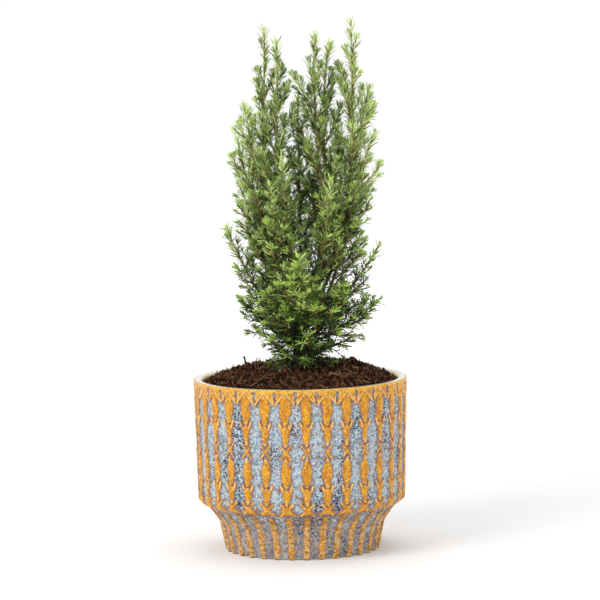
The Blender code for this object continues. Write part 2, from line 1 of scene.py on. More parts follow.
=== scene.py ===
"""Looks of the potted upright conifer, in metres, +Z up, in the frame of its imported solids.

The pot gets its moulded relief and its flowing ochre and blue glaze, the soil its crumbs and
fibres, and the stem and boughs their bark. The foliage grows on from the boughs by the rule of
the solids, carried on to finer shoots, and every shoot carries separate flat needles.
"""
import math

import bpy
import numpy as np
from mathutils import Matrix, Vector


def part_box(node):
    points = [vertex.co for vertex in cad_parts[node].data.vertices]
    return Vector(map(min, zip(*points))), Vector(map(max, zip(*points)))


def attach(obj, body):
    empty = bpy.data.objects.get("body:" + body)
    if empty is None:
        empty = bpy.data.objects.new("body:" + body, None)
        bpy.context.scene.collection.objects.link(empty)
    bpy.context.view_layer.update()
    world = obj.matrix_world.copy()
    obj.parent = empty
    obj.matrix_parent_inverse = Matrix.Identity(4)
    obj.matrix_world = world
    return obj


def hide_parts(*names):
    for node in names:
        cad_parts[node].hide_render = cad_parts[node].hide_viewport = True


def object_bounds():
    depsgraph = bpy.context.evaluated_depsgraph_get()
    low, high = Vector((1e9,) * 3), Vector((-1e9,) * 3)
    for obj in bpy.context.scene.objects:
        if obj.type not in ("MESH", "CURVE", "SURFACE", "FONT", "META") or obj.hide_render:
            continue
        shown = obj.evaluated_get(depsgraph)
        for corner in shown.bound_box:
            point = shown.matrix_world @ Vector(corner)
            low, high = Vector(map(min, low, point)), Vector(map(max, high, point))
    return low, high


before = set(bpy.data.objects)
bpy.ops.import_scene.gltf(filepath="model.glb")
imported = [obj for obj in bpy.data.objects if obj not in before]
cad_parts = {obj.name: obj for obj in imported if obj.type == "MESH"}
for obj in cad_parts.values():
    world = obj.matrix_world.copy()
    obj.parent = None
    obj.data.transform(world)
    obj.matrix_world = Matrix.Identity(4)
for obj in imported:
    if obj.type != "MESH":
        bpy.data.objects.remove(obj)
solid_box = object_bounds()

SEED = 11
GAP = 0.0003
GOLDEN_TURN = math.pi * (3.0 - math.sqrt(5.0))
UP = np.array((0.0, 0.0, 1.0))
LEVEL = np.array((1.0, 1.0, 0.0))

# Pot: heights above the underside, and radii over the tops of the relief
POT_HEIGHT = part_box("pot")[1].z
RIM_RADIUS = 0.095
DRUM_CORNER = (0.0456, 0.0924)
SHOULDER = (0.0375, 0.0820)
WAIST = (0.0257, 0.0738)
FOOT_RADIUS = 0.0686
WALL = 0.0085
INNER_RADIUS = RIM_RADIUS - WALL
FLOOR_THICKNESS = 0.011
RIB_COUNT = 32
RIB_TURN = math.radians(2.9)
RELIEF_DEPTH = 0.0022
RIM_ROUND = 0.0012
COLUMNS_PER_RIB = 28
ROW_STEP = 0.00062
CORNER_SOFTNESS = 0.0012
LIP_SOFTNESS = 0.0034
BAND_HEIGHTS = (0.0425, 0.0980)
FOOT_GLAZE = (0.037, 0.029)

# Relief of one column: leaves as top, widest, tip and half width; forks as the height and reach
# of the arms, joint, point and half width; cross and crown as top, middle, foot and reach
LEAVES = ((0.1482, 0.1375, 0.1218, 0.0060), (0.0936, 0.0795, 0.0675, 0.0053))
FORKS = ((0.1243, 0.0054, 0.1185, 0.1035, 0.0043), (0.0685, 0.0050, 0.0638, 0.0512, 0.0045))
CROSS = (0.1037, 0.0986, 0.0929, 0.0041)
CROWN_MARK = (0.0525, 0.0472, 0.0425, 0.0056)
CROSS_RISE = 0.84
STROKE_HALF_WIDTH = 0.0015
LEAF_TIP_SHARE = 0.30
ROOF_TOP = 0.1503
ROOF_FOOT = 0.1393
ROOF_HALF_WIDTH = 0.0010
RIM_BAND = 0.1512
SLOT_HALF_WIDTH = 0.0016
FOOT_RIB_HALF_WIDTH = 0.0030
FOOT_RIB_TOP = 0.0405
FOOT_SCALLOP = 0.0009

# Soil: its edge lies below the rim, and it mounds up round the stem
SOIL_EDGE_HEIGHT = 0.149
SOIL_CENTRE_HEIGHT = 0.1600
SOIL_BACK_RISE = 0.0022
SOIL_RIGHT_RISE = 0.0014
SOIL_LUMP = 0.0015
SOIL_PAD_RADIUS = 0.011
SOIL_SINK = 0.0014
SOIL_COARSE = (0.0046, 0.0076)
SOIL_FINE = (0.0015, 0.0028)
SOIL_DROP = 0.0025
SOIL_RINGS = 150
SOIL_COLUMNS = 420
CRUMB_COUNT = 5200
CRUMB_SIZES = (0.0005, 0.0013)
CLOD_COUNT = 460
CLOD_ROWS = 6
CLOD_COLUMNS = 9
CLOD_SIZES = (0.0012, 0.0020)
FIBRE_COUNT = 2600
FIBRE_LENGTHS = (0.003, 0.012)
FIBRE_RADII = (0.00013, 0.00022)
FIBRE_POINTS = 6

# Stray roots on the soil: start, end, rise of the end, arch
STRAY_ROOTS = (
    ((-0.0445, 0.012), (-0.0375, 0.010), 0.0075, 0.0004),
    ((-0.0425, 0.010), (-0.0355, 0.009), 0.0070, 0.0008),
    ((-0.0400, 0.013), (-0.0350, 0.012), 0.0085, 0.0002),
    ((-0.0372, 0.008), (-0.0325, 0.010), 0.0060, 0.0010),
    ((-0.0385, 0.004), (-0.0300, -0.002), 0.0015, 0.0022),
    ((0.0440, -0.012), (0.0560, -0.020), 0.0, 0.0030),
    ((0.0220, -0.052), (0.0380, -0.050), 0.0, 0.0020),
)

# Stem inside the foot of the plant
TRUNK_TOP_HEIGHT = 0.236
TRUNK_FLARE_RADIUS = 0.0085
TRUNK_RADIUS = 0.0048
TRUNK_TOP_RADIUS = 0.0026
TRUNK_FLARE_HEIGHT = 0.006
TRUNK_LEAN = (0.004, 0.002)
TRUNK_POINTS = 60
TRUNK_SIDES = 28
FLARE_FADE = 0.014

# Crown: an upright envelope round its own axis, as height and radius
CROWN_AXIS_X = 0.004
CROWN_RADII = (
    (0.165, 0.034),
    (0.185, 0.054),
    (0.222, 0.072),
    (0.375, 0.072),
    (0.410, 0.064),
    (0.475, 0.052),
)

# Leaders: name, tip, sideways lean at the tip per metre of height, height on the stem
LEADERS = (
    ("foot_left", (-0.026, 0.010, 0.184), (-0.9, 0.3), 0.1672),
    ("foot_right", (0.029, 0.013, 0.186), (1.0, 0.4), 0.1674),
    ("foot_front_left", (-0.012, -0.036, 0.1785), (-0.4, -1.4), 0.1670),
    ("foot_front_right", (0.018, -0.028, 0.187), (0.5, -0.9), 0.1672),
    ("foot_back", (0.000, 0.030, 0.186), (0.0, 0.9), 0.1670),
    ("skirt_left", (-0.034, -0.020, 0.194), (-1.6, -0.8), 0.1690),
    ("skirt_right", (0.049, -0.010, 0.190), (1.9, -0.3), 0.1700),
    ("skirt_front", (0.006, -0.046, 0.196), (0.2, -1.8), 0.1715),
    ("skirt_back", (-0.004, 0.046, 0.200), (0.0, 1.8), 0.1700),
    ("low_left", (-0.056, 0.006, 0.226), (-1.1, 0.0), 0.1780),
    ("low_right", (0.074, 0.004, 0.222), (1.3, 0.0), 0.1780),
    ("low_front_left", (-0.030, -0.050, 0.236), (-0.5, -0.9), 0.1790),
    ("low_front_right", (0.042, -0.048, 0.240), (0.6, -0.8), 0.1800),
    ("low_back_left", (-0.036, 0.048, 0.240), (-0.6, 0.8), 0.1810),
    ("low_back_right", (0.044, 0.046, 0.232), (0.7, 0.7), 0.1820),
    ("side_left", (-0.064, -0.008, 0.290), (-0.4, -0.1), 0.1870),
    ("side_right", (0.073, -0.008, 0.272), (0.6, -0.1), 0.1870),
    ("front", (0.000, -0.060, 0.268), (0.0, -0.4), 0.1890),
    ("back", (0.008, 0.060, 0.290), (0.1, 0.4), 0.1880),
    ("high_left", (-0.0535, 0.012, 0.368), (-0.26, 0.1), 0.1970),
    ("high_right", (0.0705, -0.006, 0.373), (0.40, 0.0), 0.1960),
    ("front_left", (-0.024, -0.044, 0.330), (-0.1, -0.2), 0.1970),
    ("front_right", (0.030, -0.046, 0.333), (0.1, -0.2), 0.2020),
    ("back_left", (-0.030, 0.044, 0.372), (-0.1, 0.2), 0.2010),
    ("back_right", (0.040, 0.042, 0.366), (0.15, 0.2), 0.2030),
    ("shoulder_left", (-0.046, -0.012, 0.397), (-0.22, 0.0), 0.2090),
    ("shoulder_right", (0.066, 0.010, 0.411), (0.26, 0.0), 0.2090),
    ("shoulder_front", (-0.013, -0.034, 0.353), (-0.05, -0.1), 0.2130),
    ("shoulder_back", (0.002, 0.034, 0.402), (0.0, 0.1), 0.2160),
    ("spire_left", (-0.0265, 0.006, 0.462), (0.0, 0.0), 0.2230),
    ("spire_right", (0.0495, -0.002, 0.4712), (-0.02, 0.0), 0.2210),
    ("spire_left_twin", (-0.0155, -0.012, 0.453), (-0.02, -0.05), 0.2310),
    ("spire_middle", (0.018, -0.010, 0.457), (0.08, -0.02), 0.2290),
    ("spire_middle_twin", (0.031, 0.014, 0.449), (0.20, 0.05), 0.2342),
)

# Spurs, the long side shoots that end in a tip of their own: leader, height of the root, tip
SPURS = (
    ("spire_left_twin", 0.385, (-0.0075, -0.016, 0.411)),
    ("spire_middle", 0.390, (-0.0010, -0.018, 0.422)),
    ("spire_middle_twin", 0.385, (0.0330, 0.024, 0.415)),
    ("spire_right", 0.395, (0.0385, 0.004, 0.429)),
    ("shoulder_right", 0.372, (0.0680, 0.000, 0.392)),
    ("high_right", 0.318, (0.0740, -0.014, 0.342)),
    ("high_left", 0.332, (-0.0570, 0.002, 0.349)),
    ("shoulder_left", 0.358, (-0.0500, -0.020, 0.379)),
)

# How a leader bends, and how thick it is
LEADER_START_RISE = 1.05
LEADER_START_REACH = 0.26
LEADER_TIP_REACH = 0.42
LEADER_POINTS = 25
SHORT_LEADER = 0.10
YOUNG_LEADER = 0.13
BARE_SHARE = 0.17
LIMB_TIP_RADIUS = 0.0006
LIMB_BASE_RADIUS = 0.0008
LIMB_SWELL = 0.0046
LIMB_POINTS = 56
LIMB_SIDES = 9
LIMB_SINK = 0.0015
LEADER_END = 0.004

# Shoots of the first and second order
SHOOT_POINTS = 6
SHOOT_FIRST = 0.006
SHOOT_LAST = 0.013
SHOOT_STEP_HEIGHTS = (0.28, 0.34, 0.40)
SHOOT_STEPS = (0.0060, 0.0078, 0.0105)
LOW_SHOOT_STEP = 0.0037
SHOOT_MEASURE = 0.0004
SHOOT_SHARE = 0.32
LOW_SHOOT_SHARE = 0.50
SHOOT_SHORTEST = 0.003
SHOOT_LONGEST = 0.042
SHOOT_ANGLE = math.radians(38)
SHOOT_TIP_ANGLE = math.radians(24)
SHOOT_CLOSING = (0.45, 0.85)
SHOOT_RISE = 0.6
DROOP_HEIGHTS = (0.176, 0.200)
DROOP_ANGLE = math.radians(64)
DROOP_RISE = -0.35
SHOOT_KEPT = 0.005
SPUR_BEND = 0.18
SHOOT_RADIUS = 0.00075
TWIG_FROM = 0.22
TWIG_PARENT = 0.016
TWIG_STEP = 0.0069
TWIG_SHARE = 0.36
TWIG_SHORTEST = 0.005
TWIG_KEPT = 0.0045
TWIG_HEIGHTS = (0.28, 0.40)
TWIG_RADIUS = 0.0005
NEIGHBOUR_SLACK = 0.006
SPACE_SAMPLES = 9
GROUND_CLEARANCE = 0.003

# Needles
NEEDLE_LENGTH = 0.0103
SIDE_NEEDLE_HEIGHTS = (0.30, 0.38)
SIDE_NEEDLE_SIZES = (0.84, 0.94)
TWIG_NEEDLE_SHARE = 0.88
NEEDLE_WIDTH = 0.00124
NEEDLE_THICKNESS = 0.00045
NEEDLE_STEP = 0.00092
STEM_NEEDLE_STEP = 0.00096
NEEDLE_ANGLES = (math.radians(46), math.radians(40), math.radians(26))
NEEDLE_OPENING_HEIGHTS = (0.172, 0.186, 0.24, 0.33, 0.40)
NEEDLE_OPENINGS = tuple(math.radians(turn) for turn in (34, 20, 13, 1, -7))
NEEDLE_RANKINGS = (0.6, 0.85, 0.85, 0.65, 0.3)
TUFT_NEEDLES = 10
TUFT_LENGTH = 0.0062
TUFT_PATH = 0.022
TUFT_SPREAD = tuple(math.radians(turn) for turn in (48, 34, 10))
BRIGHT_TUFTS_FROM = 0.180
SCALE_LENGTH = 0.0034
SCALE_SPREAD = (math.radians(40),) * 3
SCALED_SHARE = 0.4
SPENT_SHARE = 0.004
NEEDLES_PER_PIECE = 12000

# Greens of the needles from dark to light, dealt partly as painted light and shade, as screen values:
# name, upper side, underside
SHADES = (
    ("deep_needles", (24, 38, 8), (44, 60, 22)),
    ("old_needles", (56, 82, 22), (98, 120, 58)),
    ("green_needles", (118, 148, 56), (170, 188, 118)),
    ("light_needles", (178, 200, 98), (204, 218, 142)),
    ("pale_needles", (214, 228, 142), (228, 238, 178)),
)
TUFT_SHADES = (
    ("young_tufts", (188, 220, 92), (214, 234, 138)),
    ("shaded_tufts", (112, 146, 58), (158, 180, 112)),
)

# Leaders that are lighter or darker than the rest, in steps of shade: painted light on the front
# ones, painted shade on those at the back
LEADER_PAINTED_LIGHT = {"front": 1.2, "front_right": 0.2, "shoulder_front": 0.4, "shoulder_back": -0.3,
                "spire_middle_twin": -0.4, "back_left": -0.3, "back_right": -0.3}

# How much lighter the needles are towards the top of the crown, as painted light above and painted
# shade low down: height, steps of shade
SHADE_HEIGHTS = (0.17, 0.22, 0.30, 0.36, 0.45)
SHADE_STEPS = (-1.9, -1.1, 0.45, 1.2, 1.4)
SHADE_SPREAD = 1.40

# Camera: its place, its turns, its lens and sensor in millimetres
CAMERA_PLACE = (0.00103, -2.967, 0.528)
CAMERA_PITCH = math.radians(5.9)
CAMERA_ROLL = math.radians(-0.95)
CAMERA_LENS = 202.2
CAMERA_SENSOR = 36.0

# Lights: name, place, width, power
LIGHTS = (
    ("window", (-1.5, -1.5, 1.9), 1.2, 28.0),
    ("overhead", (0.1, 0.4, 2.1), 1.6, 13.0),
    ("fill", (1.8, -1.6, 0.9), 1.2, 5.0),
)
LIGHT_TARGET = (0.0, 0.0, 0.2)
FLOOR_HALF = 30.0


def srgb(red, green, blue):
    """Linear colour from screen values of 0 to 255."""
    shares = np.array((red, green, blue)) / 255.0
    return (*np.where(shares <= 0.04045, shares / 12.92, ((shares + 0.055) / 1.055) ** 2.4), 1.0)


# Arrays

def unit(vectors):
    """Vectors at length one, along the last axis."""
    return vectors / np.maximum(np.linalg.norm(vectors, axis=-1, keepdims=True), 1e-12)


def side_axes(directions):
    """Two directions square to each given one."""
    upright = np.abs(directions[..., 2:3]) >= 0.9
    helper = np.where(upright, np.array((1.0, 0.0, 0.0)), np.array((0.0, 0.0, 1.0)))
    side = unit(np.cross(directions, helper))
    return side, np.cross(directions, side)


def clamped(value):
    """Values held between 0 and 1."""
    return np.clip(value, 0.0, 1.0)


def ring_angles(count):
    """Angles of points all round a ring."""
    return np.arange(count) * 2 * math.pi / count


def round_axis(angles, radii, heights):
    """Points at angles and radii round the upright axis, at their heights."""
    return np.stack((np.cos(angles) * radii, np.sin(angles) * radii, heights), axis=-1)


def leaning(directions, around, lean):
    """Directions that lean off others by one angle, towards the side that another one gives."""
    side, up = side_axes(directions)
    sideways = np.cos(around)[:, None] * side + np.sin(around)[:, None] * up
    return np.cos(lean)[:, None] * directions + np.sin(lean)[:, None] * sideways


def bezier(controls, count):
    """Points of a curve: its control points, each by its binomial weight."""
    t = np.linspace(0.0, 1.0, count)[:, None]
    last = len(controls) - 1
    return sum(math.comb(last, k) * np.array(point) * t ** k * (1 - t) ** (last - k)
               for k, point in enumerate(controls))


def smooth_step(value, low, high):
    """0 below low, 1 above high, and 3t^2 - 2t^3 between them."""
    t = clamped((value - low) / (high - low))
    return t * t * (3.0 - 2.0 * t)


NOISE_CELLS = 32
NOISE_LATTICE = np.random.default_rng(SEED).random((NOISE_CELLS, NOISE_CELLS, NOISE_CELLS))


def soft_noise(points, size):
    """Value noise from 0 to 1: random values on a lattice of that size, blended smoothly."""
    scaled = points / size
    cell = np.floor(scaled).astype(int)
    part = scaled - cell
    part = part * part * (3.0 - 2.0 * part)
    total = np.zeros(points.shape[:-1])
    for corner in np.ndindex(2, 2, 2):
        weight = np.prod(np.where(np.array(corner) == 1, part, 1.0 - part), axis=-1)
        place = (cell + np.array(corner)) % NOISE_CELLS
        total += weight * NOISE_LATTICE[place[..., 0], place[..., 1], place[..., 2]]
    return total


# Meshes

def grid_faces(rows, columns, first=0):
    """Four corners of every cell of a grid whose last column joins the first."""
    row = np.arange(rows - 1)[:, None] * columns
    here = np.arange(columns)[None, :]
    ahead = (here + 1) % columns
    corners = (row + here, row + ahead, row + columns + ahead, row + columns + here)
    return np.stack(np.broadcast_arrays(*corners), axis=-1).reshape(-1, 4) + first


def fan(first, columns, tip, turned_over=False):
    """Triangles from the ring of points that begins at first to the point tip."""
    around = np.arange(columns)
    faces = np.stack((first + around, first + (around + 1) % columns, np.full(columns, tip)), axis=1)
    return faces[:, ::-1] if turned_over else faces


def repeated(faces, count, block):
    """Faces of one shape for each of many shapes, whose points follow in blocks."""
    return (faces[None] + (np.arange(count) * block)[:, None, None]).reshape(-1, faces.shape[1])


def dealt(deal, faces):
    """Material of every face, from the one dealt to each shape."""
    return np.concatenate([np.repeat(deal, len(block) // len(deal)) for block in faces])


def add_object(name, data):
    """A new object of the scene."""
    item = bpy.data.objects.new(name, data)
    bpy.context.scene.collection.objects.link(item)
    return item


def make_piece(name, points, faces, materials, nodes, kinds=None, smooth=True,
               marks=None):
    """One mesh object from its points and lists of faces, dressed, riding on the body."""
    mesh = bpy.data.meshes.new(name)
    points = np.asarray(points, dtype=np.float32).reshape(-1, 3)
    mesh.vertices.add(len(points))
    mesh.vertices.foreach_set("co", points.ravel())
    corners = np.concatenate([block.ravel() for block in faces])
    sizes = np.concatenate([np.full(len(block), block.shape[1]) for block in faces])
    mesh.loops.add(len(corners))
    mesh.loops.foreach_set("vertex_index", corners.astype(np.int32))
    mesh.polygons.add(len(sizes))
    starts = np.concatenate(([0], np.cumsum(sizes)[:-1]))
    mesh.polygons.foreach_set("loop_start", starts.astype(np.int32))
    for material in materials:
        mesh.materials.append(material)
    if kinds is not None:
        mesh.polygons.foreach_set("material_index", np.asarray(kinds, dtype=np.int32))
    mesh.update(calc_edges=True)
    mesh.polygons.foreach_set("use_smooth", np.full(len(sizes), smooth))
    for mark, values in (marks or {}).items():
        layer = mesh.attributes.new(mark, "FLOAT", "POINT")
        layer.data.foreach_set("value", np.asarray(values, dtype=np.float32).ravel())
    item = add_object(name, mesh)
    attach(item, "root")
    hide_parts(*nodes)


def tubes(paths, radii, sides, relief=None):
    """Round tubes along many paths of one count of points, with a point at either end.

    The ring at each path point is the point plus the radius times cos a of one side axis and
    sin a of the other, and relief, if given, multiplies the radius at each point of the ring.
    """
    count, length, _ = paths.shape
    directions = unit(np.gradient(paths, axis=1))
    side, _ = side_axes(directions[:, :1])
    side = unit(side - directions * (side * directions).sum(-1, keepdims=True))
    up = np.cross(directions, side)
    angles = ring_angles(sides)
    rays = side[:, :, None] * np.cos(angles)[:, None] + up[:, :, None] * np.sin(angles)[:, None]
    rays = rays * radii[:, :, None, None]
    rings = paths[:, :, None] + rays
    if relief is not None:
        rings = paths[:, :, None] + rays * relief(rings)[..., None]
    points = np.concatenate((rings.reshape(count, -1, 3), paths[:, [0, -1]]), axis=1)
    block = points.shape[1]
    foot, head = block - 2, block - 1
    caps = np.concatenate((fan(0, sides, foot, True), fan(foot - sides, sides, head)))
    shape = (grid_faces(length, sides), caps)
    return points.reshape(-1, 3), [repeated(faces, count, block) for faces in shape]


# Node trees

class Tree:
    """Adds nodes to a tree, and links or sets their inputs by name."""

    def __init__(self, tree):
        self.tree = tree

    def feed(self, socket, value):
        """Link another node's output to an input, or set it. A colour of three is screen values."""
        if isinstance(value, bpy.types.NodeSocket):
            self.tree.links.new(value, socket)
        elif socket.type == "RGBA" and len(value) == 3:
            socket.default_value = srgb(*value)
        else:
            socket.default_value = value

    def add(self, kind, inputs=None, **settings):
        """One node: its settings, then its inputs, each a value or another node's output."""
        node = self.tree.nodes.new(kind)
        for key, value in settings.items():
            setattr(node, key, value)
        for key, value in (inputs or {}).items():
            self.feed(node.inputs[key], value)
        return node

    def noise(self, place, scale, detail=3.0, roughness=0.55):
        """Noise of a scale at a place, about 0.5 on average."""
        inputs = {"Vector": place, "Scale": scale, "Detail": detail, "Roughness": roughness}
        return self.add("ShaderNodeTexNoise", inputs).outputs["Fac"]

    def chain(self, operation, values):
        """One operation carried on from the first value to the last."""
        result = values[0]
        for value in values[1:]:
            node = self.add("ShaderNodeMath", {0: result, 1: value}, operation=operation)
            result = node.outputs[0]
        return result

    def plus(self, *values):
        """Sum of values."""
        return self.chain("ADD", values)

    def minus(self, *values):
        """The first value less the others."""
        return self.chain("SUBTRACT", values)

    def times(self, *values):
        """Product of values."""
        return self.chain("MULTIPLY", values)

    def vector(self, operation, first, second):
        """One operation on two vectors."""
        inputs = {0: first, 1: second}
        return self.add("ShaderNodeVectorMath", inputs, operation=operation).outputs["Vector"]

    def spread(self, value, low, high, to_low=0.0, to_high=1.0):
        """A value carried smoothly from one range to another, and held at its ends."""
        inputs = {"Value": value, "From Min": low, "From Max": high}
        inputs.update({"To Min": to_low, "To Max": to_high})
        node = self.add("ShaderNodeMapRange", inputs, interpolation_type="SMOOTHSTEP")
        return node.outputs["Result"]

    def cloud(self, place, scale, low, high, to_low=0.0, to_high=1.0, detail=3.0):
        """Noise of a scale, spread from one range to another."""
        return self.spread(self.noise(place, scale, detail), low, high, to_low, to_high)

    def blend(self, share, first, second):
        """Colour between two colours."""
        node = self.add("ShaderNodeMix", {0: share, 6: first, 7: second}, data_type="RGBA")
        return node.outputs[2]

    def layers(self, colour, *rows):
        """A colour with others over it, each where and as far as its mask says."""
        for mask, other in rows:
            colour = self.blend(mask, colour, other)
        return colour

    def tall(self, place, share):
        """A place whose height counts for a share, which draws its patterns out upwards."""
        inputs = {"Vector": place, "Scale": (1.0, 1.0, share)}
        return self.add("ShaderNodeMapping", inputs).outputs["Vector"]

    def place(self):
        """The place on the object, in metres."""
        return self.add("ShaderNodeTexCoord").outputs["Object"]

    def height(self, place):
        """The height of a place."""
        return self.add("ShaderNodeSeparateXYZ", {"Vector": place}).outputs["Z"]

    def mark(self, name):
        """A value stored at the mesh's points."""
        return self.add("ShaderNodeAttribute", attribute_name=name).outputs["Fac"]

    def bump(self, height, distance, strength=1.0):
        """A surface normal from a height."""
        inputs = {"Height": height, "Distance": distance, "Strength": strength}
        return self.add("ShaderNodeBump", inputs).outputs["Normal"]


def new_material(name, roughness, **inputs):
    """A material with its shader, and the tree that its nodes are added to."""
    material = bpy.data.materials.new(name)
    material.use_nodes = True
    shader = material.node_tree.nodes["Principled BSDF"]
    shader.inputs["Roughness"].default_value = roughness
    for key, value in inputs.items():
        shader.inputs[key.replace("_", " ")].default_value = value
    return material, Tree(material.node_tree), shader


def join(tree, shader, **outputs):
    """Link outputs to the shader's inputs by name."""
    for key, value in outputs.items():
        tree.tree.links.new(value, shader.inputs[key.replace("_", " ")])


def new_group(name, inputs, outputs):
    """A shader node group with sockets of the kinds named, its tree, its inputs and outputs."""
    group = bpy.data.node_groups.new(name, "ShaderNodeTree")
    for way, sockets in (("INPUT", inputs), ("OUTPUT", outputs)):
        for label, kind in sockets.items():
            group.interface.new_socket(label, in_out=way, socket_type=f"NodeSocket{kind}")
    tree = Tree(group)
    return group, tree, tree.add("NodeGroupInput").outputs, tree.add("NodeGroupOutput").inputs


def speckle_group():
    """Irregular specks: the cells of a ragged place, as far out as a share of their size."""
    group, tree, start, end = new_group(
        "glaze_specks", {"Vector": "Vector", "Scale": "Float", "Share": "Float"}, {"Mask": "Float"})
    ragged = tree.add("ShaderNodeTexNoise", {"Vector": start["Vector"], "Scale": 900.0})
    shift = tree.vector("SUBTRACT", ragged.outputs["Color"], (0.5, 0.5, 0.5))
    moved = tree.vector("ADD", start["Vector"], tree.vector("MULTIPLY", shift, (0.0012,) * 3))
    cells = tree.add("ShaderNodeTexVoronoi", {"Vector": moved, "Scale": start["Scale"]})
    inputs = {"Value": cells.outputs["Distance"], "From Min": start["Share"],
              "From Max": tree.plus(start["Share"], 0.12), "To Min": 1.0, "To Max": 0.0}
    tree.feed(end["Mask"], tree.add("ShaderNodeMapRange", inputs).outputs["Result"])
    return group


def grain_group():
    """Two colours mixed by stretched noise, and the noise itself as a height."""
    group, tree, start, end = new_group(
        "stretched_grain",
        {"Vector": "Vector", "Stretch": "Vector", "Scale": "Float", "Dark": "Color",
         "Light": "Color"},
        {"Color": "Color", "Height": "Float"})
    inputs = {"Vector": start["Vector"], "Scale": start["Stretch"]}
    place = tree.add("ShaderNodeMapping", inputs).outputs["Vector"]
    value = tree.noise(place, start["Scale"], 5.0, 0.6)
    mixed = tree.blend(tree.spread(value, 0.34, 0.66), start["Dark"], start["Light"])
    tree.feed(end["Color"], mixed)
    tree.feed(end["Height"], value)
    return group


SPECKS = speckle_group()
GRAIN = grain_group()


def specks(tree, place, scale, share):
    """Mask of specks of a scale that fill a share of their cells."""
    inputs = {"Vector": place, "Scale": scale, "Share": share}
    return tree.add("ShaderNodeGroup", inputs, node_tree=SPECKS).outputs["Mask"]


def grain(tree, place, scale, dark, light, share=1.0):
    """Colour and height of a grain, drawn out upwards where its height counts for a share."""
    inputs = {"Vector": place, "Scale": scale, "Dark": dark, "Light": light,
              "Stretch": (1.0, 1.0, share)}
    node = tree.add("ShaderNodeGroup", inputs, node_tree=GRAIN)
    return node.outputs["Color"], node.outputs["Height"]


def grainy(name, roughness, scale, dark, light, depth, **inputs):
    """A material of two colours in a fine grain, which is its relief too."""
    material, tree, shader = new_material(name, roughness, **inputs)
    colour, height = grain(tree, tree.place(), scale, dark, light)
    join(tree, shader, Base_Color=colour, Normal=tree.bump(height, depth))
    return material


# Glaze

def pooled_blue(tree, place):
    """Grey-blue glaze with lilac and turquoise clouds and white, navy and near-black specks.

    It runs palest down the middle of each valley, where the relief's flow mark is nil.
    """
    runs = tree.cloud(tree.tall(place, 0.22), 260.0, 0.48, 0.62)
    middle = tree.plus(tree.mark("flow"), tree.cloud(place, 150.0, 0.3, 0.7, -0.10, 0.10))
    dark = tree.plus(tree.cloud(tree.tall(place, 0.4), 44.0, 0.46, 0.64, 0.0, 0.25, detail=2.0),
                     tree.spread(tree.height(place), 0.16, 0.0, 0.0, 0.08), 0.09)
    return tree.layers(
        (146, 174, 190),
        (tree.cloud(place, 95.0, 0.44, 0.60), (138, 148, 178)),
        (tree.cloud(tree.tall(place, 0.6), 190.0, 0.50, 0.64), (106, 152, 166)),
        (tree.cloud(place, 430.0, 0.46, 0.62), (190, 204, 204)),
        (tree.times(runs, 0.6), (200, 212, 218)),
        (tree.spread(middle, 0.05, -0.04, 0.0, 0.7), (182, 204, 218)),
        (tree.cloud(place, 280.0, 0.52, 0.66, 0.0, 0.75), (146, 116, 98)),
        (specks(tree, place, 560.0, 0.23), (232, 238, 230)),
        (specks(tree, tree.tall(place, 0.8), 560.0, dark), (44, 62, 98)),
        (specks(tree, place, 370.0, tree.minus(dark, 0.06)), (24, 34, 36)))


def flowing_ochre(tree, place):
    """Amber glaze, from burnt orange where it lies thick to yellow where it runs thin."""
    rim = tree.spread(tree.height(place), POT_HEIGHT - 0.0040, POT_HEIGHT - 0.0015)
    return tree.layers(
        (202, 126, 14),
        (tree.cloud(tree.tall(place, 0.45), 240.0, 0.36, 0.64), (236, 168, 28)),
        (tree.cloud(place, 520.0, 0.52, 0.68), (246, 194, 84)),
        (tree.times(rim, tree.cloud(place, 210.0, 0.34, 0.56), 0.8), (248, 198, 62)),
        (tree.times(specks(tree, place, 540.0, 0.22), 0.75), (126, 70, 26)))


